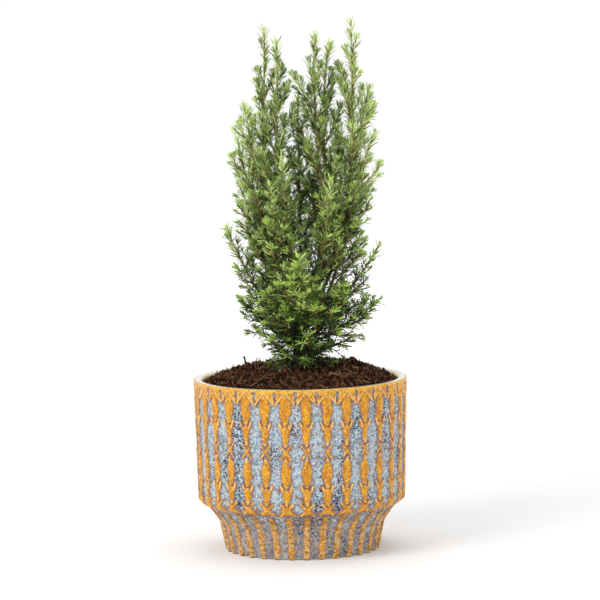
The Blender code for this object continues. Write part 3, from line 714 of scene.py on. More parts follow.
def relief_glaze():
    """Glaze that pools blue in the valleys, runs ochre over the relief and thins to cream.

    How far it has run up is its level: the flow mark, made to wander by noise, and raised at
    the rolled edge and on the foot. The foot's glaze is dusty on the ribs and darkened between
    them as painted shade; the brown mottling under the drum's corner is partly painted shade,
    and the dark band along the very bottom is the bare edge with a painted contact shadow.
    """
    material, tree, shader = new_material("relief_glaze", 0.25, Coat_Weight=0.18,
                                          Coat_Roughness=0.05, Specular_IOR_Level=0.25)
    place = tree.place()
    height = tree.height(place)
    wander = tree.cloud(place, 330.0, 0.25, 0.75, -0.24, 0.24, detail=4.0)
    grit = tree.cloud(place, 1100.0, 0.3, 0.7, -0.11, 0.11, detail=2.0)
    patch = tree.cloud(place, 70.0, 0.56, 0.72, 0.0, 0.16)
    rolled = tree.times(tree.spread(height, 0.0400, 0.0435, 0.0, 0.26),
                        tree.spread(height, 0.0500, 0.0455))
    low = tree.spread(height, *FOOT_GLAZE)
    level = tree.plus(tree.mark("flow"), wander, patch, grit, rolled, tree.times(low, 0.10))
    halo = tree.blend(tree.cloud(place, 420.0, 0.4, 0.6), (124, 106, 132), (148, 98, 60))
    ridge = tree.plus(tree.mark("crest"), tree.times(wander, 1.4))
    rib = tree.times(low, tree.spread(level, 0.30, 0.45, 0.36, 0.85))
    valley = tree.times(low, tree.spread(level, 0.40, 0.20))
    corner_mottle_and_shade = tree.times(tree.spread(height, 0.029, 0.036), tree.spread(height, 0.0445, 0.0415))
    colour = tree.layers(
        pooled_blue(tree, place),
        (tree.spread(level, 0.10, 0.30), halo),
        (tree.spread(level, 0.34, 0.50), flowing_ochre(tree, place)),
        (tree.spread(ridge, 0.30, 0.90, 0.0, 0.8), (250, 212, 150)),
        # Darker blue between the ribs of the foot: painted shade in the hollows.
        (tree.times(valley, tree.cloud(place, 140.0, 0.38, 0.60, 0.15, 0.75)), (94, 116, 146)),
        (tree.times(rib, tree.cloud(place, 360.0, 0.44, 0.56)), (234, 196, 140)),
        (tree.times(rib, tree.cloud(place, 500.0, 0.51, 0.60), 0.8), (104, 74, 52)),
        # Brown mottling under the drum's corner: the glaze's own mottle, darkened as painted shade
        # under the overhang.
        (tree.times(corner_mottle_and_shade, tree.cloud(place, 380.0, 0.44, 0.58, detail=4.0), 0.75), (116, 84, 58)),
        # Dark band along the very bottom: the bare edge, with a painted contact shadow where the pot
        # meets the floor.
        (tree.spread(height, 0.0012, 0.0004), (76, 58, 34)))
    grainy_level = tree.plus(tree.noise(place, 520.0, 3.0), level)
    join(tree, shader, Base_Color=colour, Roughness=tree.cloud(place, 120.0, 0.3, 0.7, 0.12, 0.30),
         Normal=tree.bump(grainy_level, 0.00022, 0.8))
    return material


def lip_glaze():
    """Milky glaze on the lip, near white on its rounded top as a painted highlight, with amber runs
    down the inner wall.
    """
    material, tree, shader = new_material("lip_glaze", 0.2, Coat_Weight=0.3, Coat_Roughness=0.06)
    place = tree.place()
    runs = tree.noise(tree.tall(place, 0.15), 130.0)
    inner = tree.blend(tree.spread(runs, 0.34, 0.58), (255, 234, 176), (255, 214, 104))
    depth = tree.spread(tree.height(place), POT_HEIGHT - 0.0001, POT_HEIGHT - 0.0011)
    edge = tree.plus(depth, tree.spread(runs, 0.3, 0.7, -0.25, 0.25))
    colour = tree.layers(
        # Near white: the milky glaze, brightened as a painted highlight on the lip's rounded top.
        (252, 248, 244),
        (tree.cloud(place, 200.0, 0.35, 0.65), (254, 250, 238)),
        (tree.times(tree.spread(edge, 0.35, 0.75), tree.mark("inside")), inner),
        (tree.minus(1.0, tree.mark("milky")), flowing_ochre(tree, place)),
        (tree.times(specks(tree, place, 420.0, 0.12), 0.5), (120, 110, 110)))
    join(tree, shader, Base_Color=colour, Normal=tree.bump(tree.noise(place, 380.0), 0.0002))
    return material


# Pot

def wall_radius(height):
    """Radius over the tops of the relief: straight runs with their corners worn soft."""
    heights, radii = zip((0.0, FOOT_RADIUS), WAIST, SHOULDER, DRUM_CORNER,
                         (POT_HEIGHT, RIM_RADIUS))
    shifts = np.array((-1.0, -0.5, 0.0, 0.5, 1.0)) * CORNER_SOFTNESS
    samples = np.clip(height[None] + shifts[:, None], 0.0, POT_HEIGHT)
    return np.interp(samples, heights, radii).mean(axis=0)


def dome(distance, half_width, power=0.6):
    """1 at no distance, falling as (1 - d^2) to a power to 0 at the half width."""
    return clamped(1.0 - (distance / half_width) ** 2) ** power


def stroke(across, height, start, end, half_width=STROKE_HALF_WIDTH):
    """Rounded ridge along a straight line between two places on the column."""
    span = np.array(end) - np.array(start)
    share = ((across - start[0]) * span[0] + (height - start[1]) * span[1]) / (span @ span)
    share = clamped(share)
    gap = np.hypot(across - start[0] - share * span[0], height - start[1] - share * span[1])
    return dome(gap, half_width)


def leaf(across, height, top, widest, tip, half_width):
    """Keeled leaf: its half width grows as a sine down to the widest, then runs to a blunt tip."""
    above = clamped((top - height) / (top - widest))
    below = clamped((height - tip) / (widest - tip))
    upper = np.sin(above * math.pi / 2) ** 0.8
    lower = LEAF_TIP_SHARE + (1.0 - LEAF_TIP_SHARE) * np.sin(below * math.pi / 2)
    reach = half_width * np.where(height > widest, upper, lower)
    blunt = smooth_step(height, tip - 0.0006, tip + 0.0006) * (height < top)
    keel = 1.0 - 0.22 * clamped(across / half_width)
    return dome(across, np.maximum(reach, 1e-6)) * keel * blunt


def fork(across, height, arm_top, arm_reach, joint, point, half_width):
    """Two arms that spread up from a pointed body."""
    arm = stroke(across, height, (arm_reach, arm_top), (half_width * 0.75, joint + 0.0005))
    turn = stroke(across, height, (half_width * 0.75, joint + 0.0005), (0.0, joint - 0.003))
    body = leaf(across, height, joint + 0.0028, joint - 0.0005, point, half_width)
    return np.maximum(np.maximum(arm, turn) * 0.92, body)


def cross(across, height, top, middle, foot, reach):
    """Two crossed strokes with a solid middle."""
    upper = stroke(across, height, (reach, top), (0.0, middle))
    lower = stroke(across, height, (0.0, middle), (reach, foot))
    centre = dome(np.hypot(across, (height - middle + 0.0006) * 0.9), reach * 0.60)
    return np.maximum(np.maximum(upper, lower) * 0.9, centre)


def roof(across, height, pitch):
    """Under the rim: two thin ridges like a roof, flat panels outside them, slots between."""
    edge = pitch / 2
    line = ROOF_TOP - (ROOF_TOP - ROOF_FOOT) * across / edge
    steep = math.cos(math.atan((ROOF_TOP - ROOF_FOOT) / 0.0093))
    ridge = dome(np.abs(height - line) * steep, ROOF_HALF_WIDTH)
    panel = smooth_step(height - line, 0.0004, 0.0014) * 0.74
    narrowing = clamped((height - ROOF_FOOT) / (RIM_BAND - ROOF_FOOT))
    slot = smooth_step(edge - across, SLOT_HALF_WIDTH * narrowing,
                       SLOT_HALF_WIDTH * narrowing + 0.0005)
    slot = np.where(height > RIM_BAND - 0.0004, 1.0, slot)
    return np.maximum(ridge, panel) * slot, ridge * slot


def column_relief(across, height, pitch):
    """Relief, 0 in the valleys and 1 on the crests, and the part of it that is a thin ridge."""
    across = np.abs(across)
    relief, ridge = roof(across, height, pitch)
    for row in LEAVES:
        relief = np.maximum(relief, leaf(across, height, *row))
    for row in FORKS:
        relief = np.maximum(relief, fork(across, height, *row))
    relief = np.maximum(relief, cross(across, height, *CROSS) * CROSS_RISE)
    relief = np.maximum(relief, cross(across, height, *CROWN_MARK))
    band = smooth_step(height, RIM_BAND - 0.0003, RIM_BAND + 0.0003) * 0.9
    rib_top = smooth_step(FOOT_RIB_TOP - height, -0.0015, 0.0025)
    rib = dome(across, FOOT_RIB_HALF_WIDTH, 0.5) * rib_top
    return np.maximum(np.maximum(relief, band), rib), ridge


def softened(relief, reach):
    """Mean over the points within a reach, round the wall and then up it."""
    steps = range(-reach, reach + 1)
    around = sum(np.roll(relief, step, 1) for step in steps) / len(steps)
    rows = len(relief)
    padded = np.pad(around, ((reach, reach), (0, 0)), mode="edge")
    return sum(padded[reach + step:reach + step + rows] for step in steps) / len(steps)


def pot_wall():
    """Rows of points up the outer wall, with how the glaze flows and how sharp each ridge is.

    The radius at a height is that over the tops, less the relief's depth times one less the
    relief. The flow mark is the relief softened over its neighbours, and the crest mark is the
    relief less its mean over the near neighbours. The wall's foot is cut up between the ribs.
    """
    heights = np.linspace(0.0, POT_HEIGHT, int(POT_HEIGHT / ROW_STEP))
    columns = RIB_COUNT * COLUMNS_PER_RIB
    pitch_angle = 2 * math.pi / RIB_COUNT
    first = RIB_TURN - math.pi / 2
    angles = first + ring_angles(columns)
    over = wall_radius(heights)[:, None]
    rise = heights[:, None] * np.ones(columns)
    round_places = round_axis(angles, over, rise)
    waver = (soft_noise(round_places, 0.006) - 0.5) * 0.0009
    waver_up = (soft_noise(round_places + 0.5, 0.007) - 0.5) * 0.0011
    from_rib = (angles - first + pitch_angle / 2) % pitch_angle - pitch_angle / 2
    pitch = pitch_angle * over
    relief, ridge = column_relief(from_rib * over + waver, rise + waver_up, pitch)
    worn = 0.88 + 0.12 * soft_noise(round_places + 1.0, 0.009)
    uneven = (soft_noise(round_places, 0.0024) - 0.5) * 0.10
    relief = clamped(relief * worn + uneven * (rise < RIM_BAND))
    near = (np.roll(relief, 2, 1) + np.roll(relief, -2, 1)) / 2
    stands = clamped((relief - near) * 2.0) * smooth_step(relief, 0.35, 0.6)
    crest = clamped(np.maximum(stands, ridge * 0.75))
    flow = relief * 0.35 + softened(relief, 2) * 0.35 + softened(relief, 4) * 0.3
    turn_in = clamped((rise - POT_HEIGHT + RIM_ROUND) / RIM_ROUND)
    foot_in = clamped((0.0010 - rise) / 0.0010)
    radius = over - RELIEF_DEPTH * (1.0 - relief) * (1.0 - turn_in)
    radius = radius - RIM_ROUND * (1.0 - np.sqrt(1.0 - turn_in ** 2)) - 0.0006 * foot_in ** 2
    rise = rise + FOOT_SCALLOP * (1.0 - relief) * clamped(1.0 - rise / 0.004)
    points = round_axis(angles, radius, rise)
    crest = np.maximum(crest, smooth_step(0.0022 - rise, 0.0, 0.0018) * 0.8)
    return points, flow, crest


def make_pot():
    """Foot, lower and upper bands of the relief, the lip with the inside, and the underside."""
    points, flow, crest = pot_wall()
    rows, columns, _ = points.shape
    glaze = relief_glaze()
    stops = [0, *np.searchsorted(points[:, 0, 2], BAND_HEIGHTS), rows - 1]
    names = ("pot_foot", "pot_lower_relief", "pot_upper_relief")
    for name, start, stop in zip(names, stops, stops[1:]):
        part = slice(start, stop + 1)
        make_piece(name, points[part], [grid_faces(stop + 1 - start, columns)], [glaze],
                   ["pot"], marks={"flow": flow[part], "crest": crest[part]})
    make_lip(points[-1])
    make_underside(points[0])


def revolved(profile, ring):
    """A ring of points carried to each height and radius of a profile, and closed by one point."""
    flat = unit(ring * LEVEL)
    rows = [ring] + [flat * radius + height * UP for height, radius in profile]
    points = np.concatenate(rows + [profile[-1][0] * UP[None]])
    columns = len(ring)
    last = len(profile) * columns
    return points, [grid_faces(len(rows), columns), fan(last, columns, last + columns)]


def make_lip(ring):
    """The rounded top of the wall, the inner wall and the inside floor."""
    soft = LIP_SOFTNESS
    across_top = [(POT_HEIGHT + 0.00001, RIM_RADIUS - RIM_ROUND - 0.0012),
                  (POT_HEIGHT, INNER_RADIUS + soft + 0.002)]
    bend = [(POT_HEIGHT + soft * (math.cos(a) - 1.0), INNER_RADIUS + soft * (1.0 - math.sin(a)))
            for a in np.linspace(0.15, 1.0, 6) * math.pi / 2]
    down = [(height, INNER_RADIUS) for height in np.linspace(bend[-1][0] - 0.001, 0.130, 12)]
    wall = [(DRUM_CORNER[0] + WALL * 0.6, DRUM_CORNER[1] - WALL),
            (SHOULDER[0] + WALL * 0.4, SHOULDER[1] - WALL), (WAIST[0], WAIST[1] - WALL),
            (FLOOR_THICKNESS, FOOT_RADIUS - WALL), (FLOOR_THICKNESS, 0.010)]
    points, faces = revolved(across_top + bend + down + wall, ring)
    reach = np.hypot(points[:, 0], points[:, 1])
    edge = RIM_RADIUS - RIM_ROUND
    # milky: where the lip is near white, partly as a painted highlight.
    marks = {"inside": smooth_step(reach, INNER_RADIUS + soft, INNER_RADIUS + soft * 0.3),
             "milky": smooth_step(reach, edge + 0.0001, edge - 0.0011)}
    make_piece("pot_lip", points, faces, [lip_glaze()], ["pot"], marks=marks)


def make_underside(ring):
    """The flat underside of bare clay, inside the scalloped edge of the foot."""
    points, faces = revolved([(0.0, FOOT_RADIUS - 0.008), (0.0, 0.010)], ring)
    clay = grainy("bare_clay", 0.85, 700.0, (150, 118, 88), (196, 166, 132), 0.0003)
    faces = [block[:, ::-1] for block in faces]
    make_piece("pot_underside", points, faces, [clay], ["pot"])


# Soil

def soil_height(x, y):
    """Mounded top of the soil: high round the stem, at the back and right, with small lumps."""
    reach = np.minimum(1.0, np.hypot(x, y) / INNER_RADIUS)
    mound = (1.0 - reach ** 5) * (SOIL_CENTRE_HEIGHT - SOIL_EDGE_HEIGHT)
    away = clamped(np.hypot(x, y) / SOIL_PAD_RADIUS - 1.0)
    tilt = SOIL_BACK_RISE * y + SOIL_RIGHT_RISE * x
    tilt = tilt * 2.0 * (1.0 - reach ** 2) / INNER_RADIUS
    lumps = np.sin(x * 190 + 0.6) * np.cos(y * 170 + 1.1) + np.sin(x * 83 - y * 97)
    lumps = lumps * SOIL_LUMP * (1.0 - reach ** 4)
    return SOIL_EDGE_HEIGHT + mound + away * (tilt + lumps)


def soil_skin(x, y):
    """The soil's height with its crumbly surface, a little sunken towards the wall."""
    flat = np.stack((x, y, np.zeros_like(x)), axis=-1)
    coarse = np.abs(soft_noise(flat, SOIL_COARSE[0]) - 0.5) * SOIL_COARSE[1]
    fine = soft_noise(flat + 0.3, SOIL_FINE[0]) * SOIL_FINE[1]
    to_wall = INNER_RADIUS - np.hypot(x, y)
    edge = smooth_step(to_wall, 0.0, 0.004)
    sunken = SOIL_SINK * smooth_step(-to_wall, -0.032, -0.006)
    return soil_height(x, y) + (coarse + fine - SOIL_DROP) * edge - sunken


def scattered(rng, count, margin):
    """Places strewn evenly over the soil, but for a margin along the wall."""
    reach = (INNER_RADIUS - margin) * np.sqrt(rng.random(count))
    around = rng.uniform(0.0, 2 * math.pi, count)
    return reach * np.cos(around), reach * np.sin(around)


def potting_soil():
    """Dark moist peat: brown crumbs and reddish bits, and near black in the hollows of its grain as
    painted shade.
    """
    material, tree, shader = new_material("potting_soil", 0.9, Specular_IOR_Level=0.08)
    place = tree.place()
    # The near-black low parts of the grain are painted shade in the hollows.
    colour, height = grain(tree, place, 620.0, (5, 2, 1), (84, 54, 34))
    bits = tree.times(specks(tree, place, 330.0, 0.20), 0.6)
    colour = tree.blend(bits, colour, (124, 76, 48))
    join(tree, shader, Base_Color=colour, Normal=tree.bump(height, 0.0012))
    return material


def make_bits(name, points, faces, deal, shades, smooth=False):
    """Bits of soil as one piece, in shades dealt to them: name, dark and light colour of each."""
    shades = [grainy(label, 0.85, 1500.0, dark, light, 0.0003, Specular_IOR_Level=0.12)
              for label, dark, light in shades]
    make_piece(name, points, faces, shades, ["soil"], dealt(deal, faces), smooth)


def make_soil():
    """Crumbly top of the soil on a ring grid, closed by its side and bottom in the pot."""
    edge = INNER_RADIUS - 2 * GAP
    angles = ring_angles(SOIL_COLUMNS)
    radii = np.concatenate(([WAIST[1] - WALL * 1.5], [edge - 0.0004],
                            np.linspace(edge, 0.0008, SOIL_RINGS)))
    x = radii[:, None] * np.cos(angles)
    y = radii[:, None] * np.sin(angles)
    z = soil_skin(x, y)
    z[0] = WAIST[0]
    z[1] = SOIL_EDGE_HEIGHT - 0.02
    ends = ((0.0, 0.0, z[-1].mean()), (0.0, 0.0, WAIST[0]))
    points = np.concatenate((np.stack((x, y, z), axis=-1).reshape(-1, 3), ends))
    centre = x.size
    caps = np.concatenate((fan(centre - SOIL_COLUMNS, SOIL_COLUMNS, centre),
                           fan(0, SOIL_COLUMNS, centre + 1, True)))
    faces = [grid_faces(len(radii), SOIL_COLUMNS), caps]
    make_piece("soil_surface", points, faces, [potting_soil()], ["soil"])


def ball(rows, columns):
    """Points of a ball, rings from below and then its top and bottom, and its faces."""
    lift = np.linspace(-math.pi / 2, math.pi / 2, rows + 2)[1:-1, None]
    rings = round_axis(ring_angles(columns), np.cos(lift), np.sin(lift) * np.ones(columns))
    points = np.concatenate((rings.reshape(-1, 3), ((0.0, 0.0, 1.0), (0.0, 0.0, -1.0))))
    top = rows * columns
    caps = np.concatenate((fan(top - columns, columns, top), fan(0, columns, top + 1, True)))
    return points, [grid_faces(rows, columns), caps]


def turned(first, second, angles):
    """Two axes of many shapes, turned into each other by an angle for each shape."""
    c = np.cos(angles)[:, None]
    s = np.sin(angles)[:, None]
    return first * c + second * s, second * c - first * s


def make_crumbs(rng):
    """Loose crumbs: eight-sided lumps whose corners reach unevenly far, pressed into the soil."""
    octa, sides = ball(1, 4)
    x, y = scattered(rng, CRUMB_COUNT, 0.002)
    size = CRUMB_SIZES[0] + CRUMB_SIZES[1] * rng.random(CRUMB_COUNT) ** 3
    shape = octa[None] * rng.uniform(0.55, 1.3, (CRUMB_COUNT, 6, 1)) * size[:, None, None]
    turn = rng.uniform(0.0, 2 * math.pi, CRUMB_COUNT)
    lean = rng.uniform(-0.9, 0.9, CRUMB_COUNT)
    wide, high = turned(shape[..., 0], shape[..., 2], lean)
    wide, deep = turned(wide, shape[..., 1], -turn)
    place = np.stack((x, y, soil_skin(x, y) + size * 0.3), axis=-1)
    points = place[:, None] + np.stack((wide, deep, high), axis=-1)
    deal = (rng.random(CRUMB_COUNT) < 0.28).astype(int)
    make_bits("soil_crumbs", points, [repeated(sides[1], CRUMB_COUNT, len(octa))], deal,
              (("dark_crumbs", (5, 2, 1), (40, 23, 13)),
               ("brown_crumbs", (84, 54, 38), (156, 112, 82))))


def make_clods(rng):
    """Lumps of peat: stretched balls with a wavering radius, about half sunk in the soil."""
    x, y = scattered(rng, CLOD_COUNT, 0.007)
    size = CLOD_SIZES[0] + CLOD_SIZES[1] * rng.random(CLOD_COUNT) ** 2
    middle = np.stack((x, y, soil_skin(x, y) + size * 0.10), axis=-1)
    shape, sides = ball(CLOD_ROWS, CLOD_COLUMNS)
    waver = rng.uniform(0.66, 1.28, (CLOD_COUNT, len(shape), 1))
    stretch = rng.uniform(0.6, 1.3, (CLOD_COUNT, 1, 3))
    points = middle[:, None] + shape[None] * waver * stretch * size[:, None, None]
    faces = [repeated(block, CLOD_COUNT, len(shape)) for block in sides]
    deal = (rng.random(CLOD_COUNT) < 0.45).astype(int)
    make_bits("soil_clods", points, faces, deal,
              (("dark_clods", (8, 4, 2), (58, 36, 22)),
               ("brown_clods", (48, 29, 18), (118, 80, 56))))


def make_fibres(rng):
    """Peat and coir fibres: thin bent strands that lie in and on the soil."""
    count = FIBRE_COUNT
    x, y = scattered(rng, count, 0.006)
    length = FIBRE_LENGTHS[0] + FIBRE_LENGTHS[1] * rng.random(count) ** 2
    heading = rng.uniform(0.0, 2 * math.pi, count)
    bend = rng.normal(0.0, 1.3, count)
    t = np.linspace(-0.5, 0.5, FIBRE_POINTS)
    angle = heading[:, None] + bend[:, None] * t
    step = length[:, None] / (FIBRE_POINTS - 1)
    x = x[:, None] + np.cumsum(np.cos(angle) * step, axis=1)
    y = y[:, None] + np.cumsum(np.sin(angle) * step, axis=1)
    inside = np.minimum(1.0, (INNER_RADIUS - 0.0015) / np.hypot(x, y))
    x, y = x * inside, y * inside
    lift = 0.0004 + 0.0016 * rng.random((count, 1)) ** 3
    tilt = rng.normal(0.0, 0.0019, (count, 1)) * t * 2
    z = soil_skin(x, y) + lift + np.maximum(tilt, -0.0008)
    stout = FIBRE_RADII[0] + FIBRE_RADII[1] * rng.random((count, 1)) ** 2
    paths = np.stack((x, y, z), axis=-1)
    points, faces = tubes(paths, stout * np.array((0.6, 1, 1, 1, 0.9, 0.5)), 4)
    deal = rng.choice(3, count, p=(0.52, 0.40, 0.08))
    make_bits("soil_fibres", points, faces, deal,
              (("dark_fibres", (34, 20, 12), (66, 42, 26)),
               ("red_fibres", (116, 74, 50), (166, 116, 86)),
               ("pale_fibres", (156, 116, 86), (200, 164, 128))), smooth=True)


def make_sticks():
    """A short dead stick that stands in the soil, and pale stray roots, some of them upright."""
    stick = np.array(((-0.0475, 0.014), (-0.0480, 0.014), (-0.0488, 0.014), (-0.0498, 0.014)))
    ground = float(soil_height(stick[0, 0], stick[0, 1]))
    paths = [np.column_stack((stick, ground + np.array((-0.002, 0.002, 0.0060, 0.0095))))]
    for start, end, lift, arch in STRAY_ROOTS:
        t = np.linspace(0.0, 1.0, len(stick))
        flat = np.outer(1 - t, start) + np.outer(t, end)
        ground = soil_skin(flat[:, 0], flat[:, 1])
        paths.append(np.column_stack((flat, ground + lift * t + arch * 4 * t * (1 - t))))
    thin = (0.00028, 0.00034, 0.00030, 0.00016)
    radii = np.array([(0.0009, 0.0008, 0.0008, 0.0009)] + [thin] * len(STRAY_ROOTS))
    points, faces = tubes(np.stack(paths), radii, 7)
    make_bits("soil_sticks", points, faces, np.array([0] + [1] * len(STRAY_ROOTS)),
              (("dead_stick", (30, 22, 18), (60, 44, 34)),
               ("stray_roots", (168, 128, 104), (216, 184, 158))), smooth=True)


# Stem and leaders

def trunk_axis(height):
    """Axis of the stem at a height: it leaves the soil upright and leans a little."""
    rise = (height - SOIL_CENTRE_HEIGHT) / (TRUNK_TOP_HEIGHT - SOIL_CENTRE_HEIGHT)
    rise = np.maximum(rise, 0.0)
    return np.stack((TRUNK_LEAN[0] * rise ** 1.5, TRUNK_LEAN[1] * rise ** 1.5,
                     height + 0.0 * rise), axis=-1)


def trunk_radius(height):
    """Radius of the stem: a root flare at the soil, then an even taper."""
    base = SOIL_CENTRE_HEIGHT + GAP
    flare = clamped(1.0 - (height - base) / TRUNK_FLARE_HEIGHT)
    rise = (height - base) / (TRUNK_TOP_HEIGHT - base)
    shaft = TRUNK_RADIUS + (TRUNK_TOP_RADIUS - TRUNK_RADIUS) * rise
    return shaft + (TRUNK_FLARE_RADIUS - TRUNK_RADIUS) * flare ** 2


class Leader:
    """One leader: a cubic curve that leaves the stem outwards and bends up into its lean."""

    def __init__(self, index, name, tip, lean, height):
        self.index = index
        self.name = name
        tip = np.array(tip)
        axis = trunk_axis(np.array(height))
        self.outward = unit((tip - axis) * LEVEL)
        start = axis + self.outward * (trunk_radius(height) + GAP)
        chord = np.linalg.norm(tip - start)
        rise = LEADER_START_RISE * min(1.0, (tip[2] - start[2]) / chord)
        leave = unit(self.outward + rise * UP)
        arrive = unit(np.array((*lean, 1.0)))
        first = start + leave * chord * LEADER_START_REACH
        second = tip - arrive * chord * LEADER_TIP_REACH
        self.path = bezier((start, first, second, tip), LEADER_POINTS)
        steps = np.linalg.norm(np.diff(self.path, axis=0), axis=1)
        self.along = np.concatenate(([0.0], np.cumsum(steps)))
        self.length = self.along[-1]
        self.has_bough = self.length > SHORT_LEADER
        self.bare = self.length * BARE_SHARE if self.has_bough else 0.0
        self.base_radius = LIMB_BASE_RADIUS + LIMB_SWELL * self.length

    def points(self, distances):
        """Points at distances along the leader."""
        return np.stack([np.interp(distances, self.along, column) for column in self.path.T], axis=-1)

    def at(self, distances):
        """Points and directions at distances along the leader."""
        ahead = self.points(distances + 0.001) - self.points(distances - 0.001)
        return self.points(distances), unit(ahead)


LEADER_LIST = [Leader(index, *row) for index, row in enumerate(LEADERS)]
FOLIAGE_NODES = [f"foliage_{leader.name}" for leader in LEADER_LIST]
BOUGH_NODES = [f"bough_{leader.name}" for leader in LEADER_LIST if leader.has_bough]


def bark():
    """Bark, from grey-brown on the old stem to green-brown on the young upper limbs."""
    material, tree, shader = new_material("bark", 0.75, Specular_IOR_Level=0.35)
    place = tree.place()
    old, height = grain(tree, place, 900.0, (58, 44, 30), (118, 96, 66), 0.22)
    young, _ = grain(tree, place, 700.0, (116, 112, 58), (168, 156, 98), 0.22)
    green, _ = grain(tree, place, 700.0, (74, 100, 22), (124, 150, 44), 0.22)
    colour = tree.layers(old, (tree.mark("youth"), young), (tree.mark("fresh"), green))
    join(tree, shader, Base_Color=colour, Normal=tree.bump(height, 0.0006))
    return material


def bark_relief(places):
    """Radius factor of the bark: long flakes, as noise stretched along the height."""
    stretched = places * np.array((1.0, 1.0, 0.3))
    return 0.92 + 0.16 * soft_noise(stretched, 0.0011) + 0.10 * soft_noise(places, 0.004)


def flare_relief(places):
    """Bark with five shallow root ridges that fade above the soil."""
    turn = np.arctan2(places[..., 1], places[..., 0])
    near = clamped(1.0 - (places[..., 2] - SOIL_CENTRE_HEIGHT) / FLARE_FADE)
    return bark_relief(places) * (1.0 + 0.14 * near * np.cos(5 * turn + 0.7))


def make_limbs():
    """Stem with its root flare, and every leader from the stem to its tip, under bark."""
    material = bark()
    heights = np.linspace(SOIL_CENTRE_HEIGHT - 0.003, TRUNK_TOP_HEIGHT, TRUNK_POINTS)
    radii = trunk_radius(np.maximum(heights, SOIL_CENTRE_HEIGHT + GAP))
    points, faces = tubes(trunk_axis(heights)[None], radii[None], TRUNK_SIDES, flare_relief)
    make_piece("stem_bark", points, faces, [material], ["trunk"],
               marks={"youth": np.zeros(len(points)), "fresh": np.zeros(len(points))})
    lengths = np.array([leader.length for leader in LEADER_LIST])
    base = np.array([leader.base_radius for leader in LEADER_LIST])[:, None]
    distances = np.linspace(0.0, lengths - LEADER_END, LIMB_POINTS, axis=1)
    share = distances / lengths[:, None]
    paths = np.stack([leader.points(row) for leader, row in zip(LEADER_LIST, distances)])
    paths[:, 0] -= np.stack([leader.outward for leader in LEADER_LIST]) * LIMB_SINK
    wide = base + (LIMB_TIP_RADIUS - base) * share
    young = smooth_step(YOUNG_LEADER - lengths, 0.0, 0.02)[:, None]
    points, faces = tubes(paths, wide, LIMB_SIDES, bark_relief)
    marks = {}
    for name, rows in (("youth", smooth_step(share, 0.05, 0.38)), ("fresh", young + 0.0 * share)):
        around = np.repeat(rows, LIMB_SIDES, axis=1)
        marks[name] = np.concatenate((around, rows[:, [0, -1]]), axis=1)
    make_piece("limb_bark", points, faces, [material], BOUGH_NODES + FOLIAGE_NODES,
               marks=marks)


# Shoots

def crown_radius(height):
    """Radius of the crown's envelope at a height."""
    heights, radii = zip(*CROWN_RADII)
    return np.interp(height, heights, radii)


def distances_to_leaders(samples):
    """Distance from each sample point to each leader, as samples by leaders."""
    table = []
    for leader in LEADER_LIST:
        start = leader.path[:-1][None]
        span = np.diff(leader.path, axis=0)[None]
        offset = samples[:, None] - start
        share = clamped((offset * span).sum(2) / (span ** 2).sum(2))
        nearest = offset - share[..., None] * span
        table.append(np.sqrt((nearest ** 2).sum(2)).min(axis=1))
    return np.stack(table, axis=1)


def in_own_space(samples, leader):
    """True where sample points are about nearest to their leader, in the crown, off the soil."""
    table = distances_to_leaders(samples)
    own = table[:, leader.index]
    others = np.delete(table, leader.index, axis=1).min(axis=1)
    reach = np.hypot(samples[:, 0] - CROWN_AXIS_X, samples[:, 1])
    inside = reach < crown_radius(samples[:, 2]) - 0.001
    clear = samples[:, 2] > soil_height(samples[:, 0], samples[:, 1]) + GROUND_CLEARANCE
    return (own < others + NEIGHBOUR_SLACK) & inside & clear


def shoot_curves(roots, directions, around, lengths, angles, rise):
    """Shoots that leave their stems at an angle each and bend towards the upright by their rise."""
    leave = leaning(directions, around, angles)
    arrive = unit(leave + np.outer(rise, UP))
    t = np.linspace(0.0, 1.0, SHOOT_POINTS)[1:][None, :, None]
    bent = unit(leave[:, None] * (1 - t) + arrive[:, None] * t)
    steps = bent * (lengths / (SHOOT_POINTS - 1))[:, None, None]
    return np.concatenate((roots[:, None], roots[:, None] + np.cumsum(steps, axis=1)), axis=1)


def along_shoots(paths, shares):
    """Points and directions of shoots at shares of their length, one share for each shoot."""
    spot = clamped(shares) * (paths.shape[1] - 1)
    low = np.minimum(spot.astype(int), paths.shape[1] - 2)
    part = (spot - low)[:, None]
    which = np.arange(len(paths))
    start = paths[which, low]
    end = paths[which, low + 1]
    return start * (1 - part) + end * part, unit(end - start)


def curve_lengths(paths):
    """Length of each of many paths."""
    return np.linalg.norm(np.diff(paths, axis=1), axis=2).sum(axis=1)


def cut_to_space(paths, leader):
    """Shoots cut where they leave their leader's space, and how long they are then."""
    shares = np.linspace(0.0, 1.0, SPACE_SAMPLES)
    samples = np.stack([along_shoots(paths, np.full(len(paths), s))[0] for s in shares], axis=1)
    good = in_own_space(samples.reshape(-1, 3), leader).reshape(-1, SPACE_SAMPLES)
    good[:, :2] = True
    limit = shares[np.cumprod(good, axis=1).sum(axis=1) - 1]
    cut = np.stack([along_shoots(paths, limit * s)[0]
                    for s in np.linspace(0.0, 1.0, SHOOT_POINTS)], axis=1)
    return cut, curve_lengths(cut)


def spread_along(lengths, start_shares, step):
    """For places a step apart along many shoots: the shoot, the order and the share of each."""
    counts = np.maximum(((lengths * (1.0 - start_shares)) / step).astype(int), 1)
    which = np.repeat(np.arange(len(lengths)), counts)
    order = np.arange(counts.sum()) - np.repeat(np.cumsum(counts) - counts, counts)
    share = start_shares[which] + (order + 0.5) / counts[which] * (1.0 - start_shares[which])
    return which, order, share


def spurs_of(leader):
    """Paths of the leader's long side shoots: out from the root, then up to the tip."""
    spurs = []
    for name, height, tip in SPURS:
        if name != leader.name:
            continue
        root = leader.points(np.interp(height, leader.path[:, 2], leader.along))
        reach = np.array(tip) - root
        bend = root + reach * 0.5 + reach * LEVEL * SPUR_BEND
        spurs.append(bezier((root, bend, tip), SHOOT_POINTS))
    return spurs


